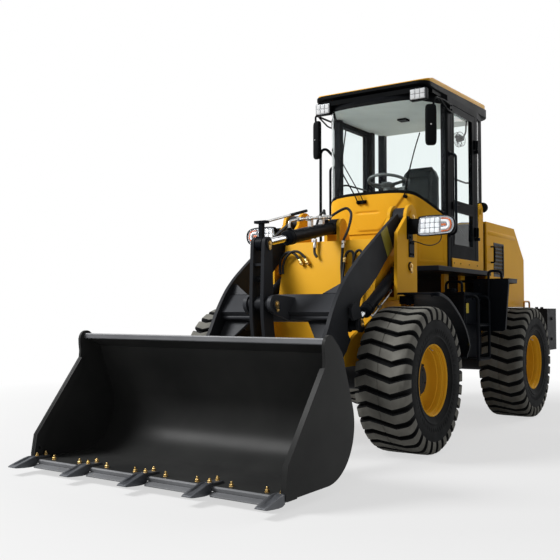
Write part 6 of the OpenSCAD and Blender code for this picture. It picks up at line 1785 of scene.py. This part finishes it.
def add_tower_details():
    bm, zinc = bmesh.new(), bmesh.new()
    for side in (1, -1):
        o = side * 0.603
        box(bm, (0.205, o - side * 0.002, 1.505), (0.300, o + side * 0.009, 1.646))
        for x, z in ((0.230, 1.530), (0.275, 1.530), (0.230, 1.620), (0.275, 1.620)):
            bolt(bm, (x, o + side * 0.009, z), (0, side, 0), 0.010)
        for x, z, way in ((BOOM_PIN.x, BOOM_PIN.z, (0.1, 0, -1)), (LIFT_BASE.x, LIFT_BASE.z, (-0.1, 0, -1))):
            pin_cap(bm, (x, o, z), (0, side, 0), 0.036, 0.010)
            keeper(zinc, (x, o + side * 0.010, z), (0, side, 0), way, 0.024)
    piece("tower_straps", bm, "front_frame", [BLACK], 0.0012, 38)
    piece("tower_keepers", zinc, "front_frame", [GOLD], 0.0008, 30)


add_front_fenders()
add_rear_fenders()
add_side_boxes()
add_ladders()
add_hood_details()
add_counterweight_details()
add_door_details()
add_sill_covers()
add_door_catches()
add_tower_details()


# Cab inside

LINER = finish_of("cab_liner", (0.74, 0.80, 0.78), (0.82, 0.88, 0.86), (0.7, 0.85), 6.0, 0.5, 500, spec=0.2)
GREY = finish_of("grey_plastic", (0.060, 0.066, 0.066), (0.085, 0.092, 0.092), (0.45, 0.6), 5.0, 0.3, 600, spec=0.25)
DIAL = finish_of("dial_face", (0.30, 0.31, 0.31), (0.42, 0.43, 0.43), (0.3, 0.4), 20.0, 0.1, 400)

# Padded forms: remesh step, frames of cloth and pressure
VOXEL, CLOTH_FRAMES, PRESSURE = 0.0065, 20, 4
STILL = Vector((0, 0, 0))


def soft_form(name, rings, cap, seams):
    """A padded form: rings skinned, remeshed, blown up a little as cloth, then sewn along its seams."""
    bm = bmesh.new()
    loft(bm, rings)
    bmesh.ops.recalc_face_normals(bm, faces=bm.faces)
    mesh = bpy.data.meshes.new(name + "_start")
    bm.to_mesh(mesh)
    bm.free()
    ob = bpy.data.objects.new(name, mesh)
    scene.collection.objects.link(ob)

    def applied():
        done = bpy.data.meshes.new_from_object(ob.evaluated_get(bpy.context.evaluated_depsgraph_get()))
        ob.modifiers.clear()
        ob.data = done
    remesh = ob.modifiers.new("remesh", "REMESH")
    remesh.mode = "VOXEL"
    remesh.voxel_size = VOXEL
    applied()
    smooth = ob.modifiers.new("smooth", "SMOOTH")
    smooth.iterations = 6
    smooth.factor = 0.5
    applied()
    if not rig.quick():
        start = [v.co.copy() for v in ob.data.vertices]
        cloth = ob.modifiers.new("cloth", "CLOTH")
        cloth.settings.quality = 5
        cloth.settings.mass = 0.3
        cloth.settings.tension_stiffness = cloth.settings.compression_stiffness = 12
        cloth.settings.use_pressure = True
        cloth.settings.uniform_pressure_force = PRESSURE
        cloth.settings.effector_weights.gravity = 0
        for frame_no in range(1, CLOTH_FRAMES + 1):
            scene.frame_set(frame_no)
        applied()
        scene.frame_set(1)
        for v, a in zip(ob.data.vertices, start):
            move = v.co - a
            if move.length > cap:
                v.co = a + move.normalized() * cap
    for v in ob.data.vertices:
        v.co += seams(v.co, v.normal)
    ob.data.materials.append(LEATHER)
    ob.data.polygons.foreach_set("use_smooth", [True] * len(ob.data.polygons))
    split = ob.modifiers.new("subdivide", "SUBSURF")
    split.levels = split.render_levels = 1
    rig.ride(ob, "rear_frame")
    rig.slot(ob, "seat_cover")
    return ob


def groove(d, width, deep):
    """The depth of a sewn line at a distance d from it."""
    return deep * math.exp(-(d / width) ** 2)


def add_seat():
    def cushion_seam(co, n):
        if n.z < 0.2:
            return -n * groove(co.z - 1.868, 0.006, 0.005)
        inside = abs(co.x + 1.145) < 0.20
        d = min([abs(abs(co.y) - 0.135)] + ([abs(co.x + 1.02)] if abs(co.y) < 0.135 else []))
        return Vector((0, 0, -groove(d, 0.008, 0.010))) if inside else STILL

    def back_seam(co, n):
        if n.x < 0.2:
            return -n * groove(co.x + 1.318, 0.006, 0.005)
        if not 1.98 < co.z < 2.53:
            return STILL
        d = [abs(abs(co.y) - 0.120)]
        if abs(co.y) < 0.120:
            d += [abs(co.z - 2.42), abs(co.z - 2.20)]
        return Vector((-groove(min(d), 0.008, 0.011), 0, 0))

    rings = []
    for t in (0.0, 0.12, 0.35, 0.65, 0.88, 1.0):
        z = 1.815 + 0.098 * t
        inset = 0.030 * (1 - math.sin(PI * min(max(t, 0.001), 0.999)) ** 0.5)
        ring = []
        for k in range(48):
            a = 2 * PI * k / 48
            x = -1.140 + squared(math.cos(a), 0.45) * (0.222 - inset)
            y = squared(math.sin(a), 0.45) * (0.208 - inset)
            bolster = 0.020 * ease((abs(y) - 0.12) / 0.05) if t > 0.5 else 0
            droop = -0.016 * ease((x + 0.99) / 0.08) if t > 0.5 else 0
            ring.append((x, y, z + bolster + droop))
        rings.append(ring)
    cushion = soft_form("seat_cushion", rings, 0.014, cushion_seam)
    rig.padded(cushion, 0.75)
    rings = []
    for t in (0.0, 0.03, 0.09, 0.2, 0.4, 0.6, 0.8, 0.91, 0.97, 1.0):
        z = 1.925 + 0.622 * t
        pinch = 1 - 0.34 * ease((t - 0.84) / 0.16) - 0.10 * ease((0.10 - t) / 0.10)
        thick = 0.052 * (1 - 0.45 * ease((t - 0.90) / 0.10) - 0.35 * ease((0.08 - t) / 0.08))
        lean = -1.300 - 0.016 * t
        ring = []
        for k in range(48):
            a = 2 * PI * k / 48
            y = squared(math.sin(a), 0.55) * 0.206 * pinch
            x = lean + squared(math.cos(a), 0.6) * thick
            if math.cos(a) > 0:
                x += 0.016 * ease((abs(y) - 0.10) / 0.06) - 0.004
            ring.append((x, y, z))
        rings.append(ring)
    back = soft_form("seat_backrest", rings, 0.012, back_seam)
    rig.padded(back, 0.75)
    bm = bmesh.new()
    # Base, bellows, slides, back shell and piping
    box(bm, (-1.312, -0.165, 1.462), (-0.978, 0.165, 1.500))
    rings = []
    for k in range(13):
        z = 1.500 + 0.022 * k
        out = 0.0 if k % 2 else 0.016
        ring = rounded_box_ring(0, (-1.300 + out, -0.155 + out), (-0.990 - out, 0.155 - out), 0.03, 3)
        rings.append([(x, y, z) for _, x, y in ring])
    loft(bm, rings)
    box(bm, (-1.330, -0.195, 1.764), (-0.960, 0.195, 1.786))
    box(bm, (-1.370, -0.205, 1.786), (-0.935, 0.205, 1.812))
    for y in (-0.17, 0.17):
        box(bm, (-1.378, y - 0.022, 1.800), (-1.352, y + 0.022, 1.990))
    rings = []
    for z, w in ((1.96, 0.150), (2.00, 0.175), (2.20, 0.180), (2.42, 0.172), (2.50, 0.140), (2.53, 0.100)):
        rings.append([(x, w * share, z) for x, share in
                      ((-1.384, -0.8), (-1.384, 0.8), (-1.366, 1), (-1.330, 1), (-1.330, -1), (-1.366, -1))])
    loft(bm, rings)
    for y in (-0.205, 0.205):
        rod_between(bm, (-1.02, y, 1.795), (-0.93, y * 1.04, 1.785), 0.009, 12)
    piece("seat_frame", bm, "rear_frame", [PLASTIC], 0.003, 38, ["operator_seat"], "black_plastic")


def add_steering():
    bm = bmesh.new()
    centre = Vector((-0.565, 0, 2.290))
    lean = math.radians(14)
    up = Vector((-math.sin(lean), 0, math.cos(lean)))
    ahead = Vector((math.cos(lean), 0, math.sin(lean)))
    left = Vector((0, 1, 0))

    def at(r, turn, h=0.0):
        return centre + (ahead * math.cos(turn) + left * math.sin(turn)) * r + up * h
    sweep(bm, [at(0.185, 2 * PI * k / 64) for k in range(64)], 0.0145, 14, closed=True)
    for turn in (PI / 2, -PI / 2, PI):
        rows = []
        for r, w, h in ((0.030, 0.034, -0.030), (0.080, 0.026, -0.022), (0.140, 0.024, -0.008), (0.180, 0.030, 0.0)):
            side = -ahead * math.sin(turn) + left * math.cos(turn)
            mid = at(r, turn, h)
            rows.append([mid + side * w * a + up * b
                         for a, b in ((-1, -0.005), (-0.8, 0.006), (0.8, 0.006), (1, -0.005))])
        loft(bm, rows)
    capped(bm, [(0.030, -0.070), (0.058, -0.050), (0.066, -0.034), (0.062, -0.020), (0.040, -0.012), (0.010, -0.010)],
           centre, up, 36)
    knob = at(0.185, 2.3, 0.012)
    capped(bm, [(0.008, 0.0), (0.008, 0.020), (0.020, 0.028), (0.026, 0.042), (0.022, 0.056), (0.008, 0.062)], knob,
           up, 24)
    # Column shroud, stalk and pedestal
    base = centre - up * 0.545
    capped(bm, [(0.072, 0.0), (0.072, 0.10), (0.050, 0.20), (0.043, 0.34), (0.043, 0.44), (0.032, 0.49)], base, up, 32)
    rod_between(bm, centre - up * 0.12, centre - up * 0.10 + left * 0.150 + ahead * 0.02, 0.007, 10)
    capped(bm, [(0.009, 0.0), (0.012, 0.01), (0.012, 0.05), (0.006, 0.056)],
           centre - up * 0.10 + left * 0.145 + ahead * 0.02, left, 14)
    rings = []
    for z, x0, x1, w in ((1.461, -0.528, -0.334, 0.108), (1.62, -0.520, -0.334, 0.104),
                         (1.76, -0.515, -0.345, 0.096), (1.800, -0.500, -0.365, 0.080)):
        rings.append([(x, y, z) for _, x, y in rounded_box_ring(0, (x0, -w), (x1, w), 0.030, 4)])
    loft(bm, rings)
    piece("steering_wheel", bm, "rear_frame", [GREY], 0.0015, 40, ["steering_column"], "black_plastic")
    # Dash over the cowl with blank dials, pedals
    bm = bmesh.new()
    line = nose_line(0.030, 6)
    rings = []
    for x, y in line:
        if abs(y) > 0.42:
            continue
        top = min(cowl_top(x) - 0.10, 2.010)
        rings.append([(x, y, 1.80), (x, y, top), (x - 0.100, y * 0.93, top - 0.012),
                      (x - 0.150, y * 0.90, top - 0.075), (x - 0.150, y * 0.90, 1.80)])
    loft(bm, rings)
    for y in (-0.16, -0.05, 0.06, 0.17):
        place = Vector((-0.335, y, 1.955))
        out = Vector((-0.78, 0, 0.62))
        capped(bm, [(0.040, -0.02), (0.040, 0.010), (0.036, 0.012), (0.034, 0.006)], place, out, 32)
        capped(bm, [(0.034, 0.004), (0.034, 0.0065)], place, out, 32, 1)
    for y in (-0.22, 0.20):
        v = [(-0.46, y - 0.035, 1.475), (-0.40, y - 0.035, 1.56), (-0.392, y - 0.035, 1.552),
             (-0.452, y - 0.035, 1.467)]
        loft(bm, [v, [(x, y + 0.035, z) for x, _, z in v]])
        rod_between(bm, (-0.42, y, 1.51), (-0.36, y, 1.462), 0.010, 12)
    piece("dash_panel", bm, "rear_frame", [PLASTIC, DIAL], 0.002, 38)


def add_console():
    bm = bmesh.new()
    rings = []
    for y in (-0.378, -0.232):
        rings.append([(-1.402, y, 1.461), (-0.900, y, 1.461), (-0.888, y, 1.60), (-0.905, y, 1.860),
                      (-0.960, y, 1.905), (-1.100, y, 1.925),
                      (-1.402, y, 1.925)])
    loft(bm, rings)
    # Levers with gaiters and knobs
    for k, x in enumerate((-0.955, -1.035)):
        y = -0.305
        capped(bm, [(0.034, 0.0), (0.026, 0.010), (0.030, 0.016), (0.020, 0.026), (0.023, 0.032), (0.010, 0.044)],
               (x, y, 1.898 + 0.012 * k), (0, 0, 1), 20)
        rod_between(bm, (x, y, 1.93), (x + 0.010, y, 1.958), 0.006, 10)
        capped(bm, [(0.008, -0.010), (0.016, 0.0), (0.018, 0.012), (0.012, 0.022), (0.003, 0.025)],
               (x + 0.010, y, 1.954), (0.2, 0, 1), 20)
    piece("console_body", bm, "rear_frame", [GREY], 0.008, 35, ["side_console"], "black_plastic", segments=3)
    # Padded arm rest
    rings = []
    for t in (0.0, 0.25, 0.6, 1.0):
        inset = 0.012 * (1 - math.sin(PI * min(max(t, 0.02), 0.98)) ** 0.5)
        ring = []
        for k in range(36):
            a = 2 * PI * k / 36
            ring.append((-1.255 + squared(math.cos(a), 0.4) * (0.125 - inset),
                         -0.305 + squared(math.sin(a), 0.5) * (0.058 - inset), 1.928 + 0.034 * t))
        rings.append(ring)

    def rest_seam(co, n):
        return -n * groove(co.z - 1.944, 0.005, 0.003) if n.z < 0.3 else STILL
    rest = soft_form("arm_rest", rings, 0.007, rest_seam)
    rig.padded(rest, 0.8)


def add_cab_trim():
    bm = bmesh.new()
    # Ceiling liner and its lamp
    outline = nose_line(0.035, 4) + [(-1.32, 0.555), (-1.52, 0.52), (-1.52, -0.52), (-1.32, -0.555)]
    plate(bm, outline, 2, 2.962, 2.9735)
    piece("ceiling_liner", bm, "rear_frame", [LINER], 0.002, 35)
    bm = bmesh.new()
    box(bm, (-0.96, -0.045, 2.945), (-0.86, 0.045, 2.963))
    # Fan on its bracket beside the left door
    hub = Vector((-1.255, 0.440, 2.770))
    aim = Vector((0.72, -0.62, -0.30)).normalized()
    u, a, b = basis(aim)

    def arm_at(turn):
        return a * math.cos(turn) + b * math.sin(turn)
    for h in (-0.022, 0.022):
        sweep(bm, [hub + u * h + arm_at(2 * PI * k / 40) * 0.072 for k in range(40)], 0.0026, 6, closed=True)
    for k in range(20):
        arm = arm_at(2 * PI * k / 20)
        wire = [hub + u * h + arm * r for h, r in ((0.024, 0.018), (0.030, 0.050), (0.020, 0.072), (-0.022, 0.072))]
        sweep(bm, spline(wire, 3), 0.0014, 5)
    capped(bm, [(0.020, -0.045), (0.026, -0.035), (0.026, 0.0), (0.020, 0.026)], hub, aim, 24)
    for k in range(4):
        turn = PI / 2 * k
        arm, side = arm_at(turn), -a * math.sin(turn) + b * math.cos(turn)
        low = [hub + arm * r + side * w + u * h for r, w, h in
               ((0.020, 0.008, 0.008), (0.062, 0.026, 0.014), (0.064, -0.016, -0.008), (0.020, -0.008, -0.006))]
        loft(bm, [low, [p + u * 0.002 for p in low]])
    sweep(bm, spline([hub - aim * 0.035, hub - aim * 0.050 + Vector((0, 0.02, 0.05)), (-1.285, 0.500, 2.90),
                      (-1.285, 0.505, 2.965)], 6), 0.008, 10)
    piece("cab_fan", bm, "rear_frame", [PLASTIC], 0.0008, 40)


add_seat()
add_steering()
add_console()
add_cab_trim()


# Studio

WORLD_LIGHT, FLOOR_GREY, FLOOR_SIZE = 0.22, 0.62, 60


def seen_directly(nodes, links):
    """1 for camera, glossy and transmission rays, 0 for the light that falls on the object."""
    path = nodes.new("ShaderNodeLightPath")
    most = [nodes.new("ShaderNodeMath") for _ in range(2)]
    for m in most:
        m.operation = "MAXIMUM"
    links.new(path.outputs["Is Camera Ray"], most[0].inputs[0])
    links.new(path.outputs["Is Glossy Ray"], most[0].inputs[1])
    links.new(most[0].outputs[0], most[1].inputs[0])
    links.new(path.outputs["Is Transmission Ray"], most[1].inputs[1])
    return most[1].outputs[0]


def add_studio():
    """A pale floor that keeps the shadow, white surroundings and soft lamps."""
    world = bpy.data.worlds.new("world")
    scene.world = world
    world.use_nodes = True
    nodes, links = world.node_tree.nodes, world.node_tree.links
    plain = nodes["Background"]
    plain.inputs["Color"].default_value = (1, 1, 1, 1)
    plain.inputs["Strength"].default_value = WORLD_LIGHT
    seen = nodes.new("ShaderNodeBackground")
    seen.inputs["Color"].default_value = (1, 1, 1, 1)
    seen.inputs["Strength"].default_value = 1.0
    mix = nodes.new("ShaderNodeMixShader")
    links.new(seen_directly(nodes, links), mix.inputs["Fac"])
    links.new(plain.outputs["Background"], mix.inputs[1])
    links.new(seen.outputs["Background"], mix.inputs[2])
    links.new(mix.outputs["Shader"], nodes["World Output"].inputs["Surface"])

    mesh = bpy.data.meshes.new("floor")
    size = FLOOR_SIZE
    mesh.from_pydata([(-size, -size, 0), (size, -size, 0), (size, size, 0), (-size, size, 0)], [], [(0, 1, 2, 3)])
    floor = bpy.data.objects.new("floor", mesh)
    floor.location.z = -0.001
    scene.collection.objects.link(floor)
    mat, nodes, links, bsdf = shader("floor")
    bsdf.inputs["Base Color"].default_value = (*grey(FLOOR_GREY), 1)
    bsdf.inputs["Roughness"].default_value = 0.9
    bsdf.inputs["Specular IOR Level"].default_value = 0.0
    # Plain white where it is seen, a little less near the object so that its shadow stays
    white = nodes.new("ShaderNodeEmission")
    white.inputs["Color"].default_value = (1, 1, 1, 1)
    white.inputs["Strength"].default_value = 1.0
    where = nodes.new("ShaderNodeTexCoord")
    away = nodes.new("ShaderNodeVectorMath")
    away.operation = "LENGTH"
    links.new(where.outputs["Object"], away.inputs[0])
    span = nodes.new("ShaderNodeMapRange")
    for socket, value in zip(("From Min", "From Max", "To Min", "To Max"), (3.2, 6.5, 0.62, 1.0)):
        span.inputs[socket].default_value = value
    links.new(away.outputs["Value"], span.inputs["Value"])
    share = nodes.new("ShaderNodeMath")
    share.operation = "MULTIPLY"
    links.new(span.outputs["Result"], share.inputs[0])
    links.new(seen_directly(nodes, links), share.inputs[1])
    mix = nodes.new("ShaderNodeMixShader")
    links.new(share.outputs[0], mix.inputs["Fac"])
    links.new(bsdf.outputs["BSDF"], mix.inputs[1])
    links.new(white.outputs["Emission"], mix.inputs[2])
    links.new(mix.outputs["Shader"], nodes["Material Output"].inputs["Surface"])
    mesh.materials.append(mat)
    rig.stage(floor)

    def lamp(name, place, aim, width, power):
        data = bpy.data.lights.new(name, "AREA")
        data.shape = "SQUARE"
        data.size = width
        data.energy = power
        ob = bpy.data.objects.new(name, data)
        ob.location = place
        ob.rotation_euler = (Vector(aim) - Vector(place)).to_track_quat("-Z", "Y").to_euler()
        scene.collection.objects.link(ob)

    lamp("key", (6.8, -6.5, 8.5), (0, 0, 1.2), 4.5, 1500)
    lamp("fill", (4.0, 9.0, 4.5), (0, 0, 1.2), 6, 45)
    lamp("back", (-8, 3, 7), (0, 0, 1.2), 5, 260)


add_studio()
scene.view_settings.view_transform = "Standard"

seen_low, seen_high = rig.bounds()
with open("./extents.json", "w") as out:
    json.dump({"cad": [list(cad_low), list(cad_high)], "visual": [list(seen_low), list(seen_high)]}, out)
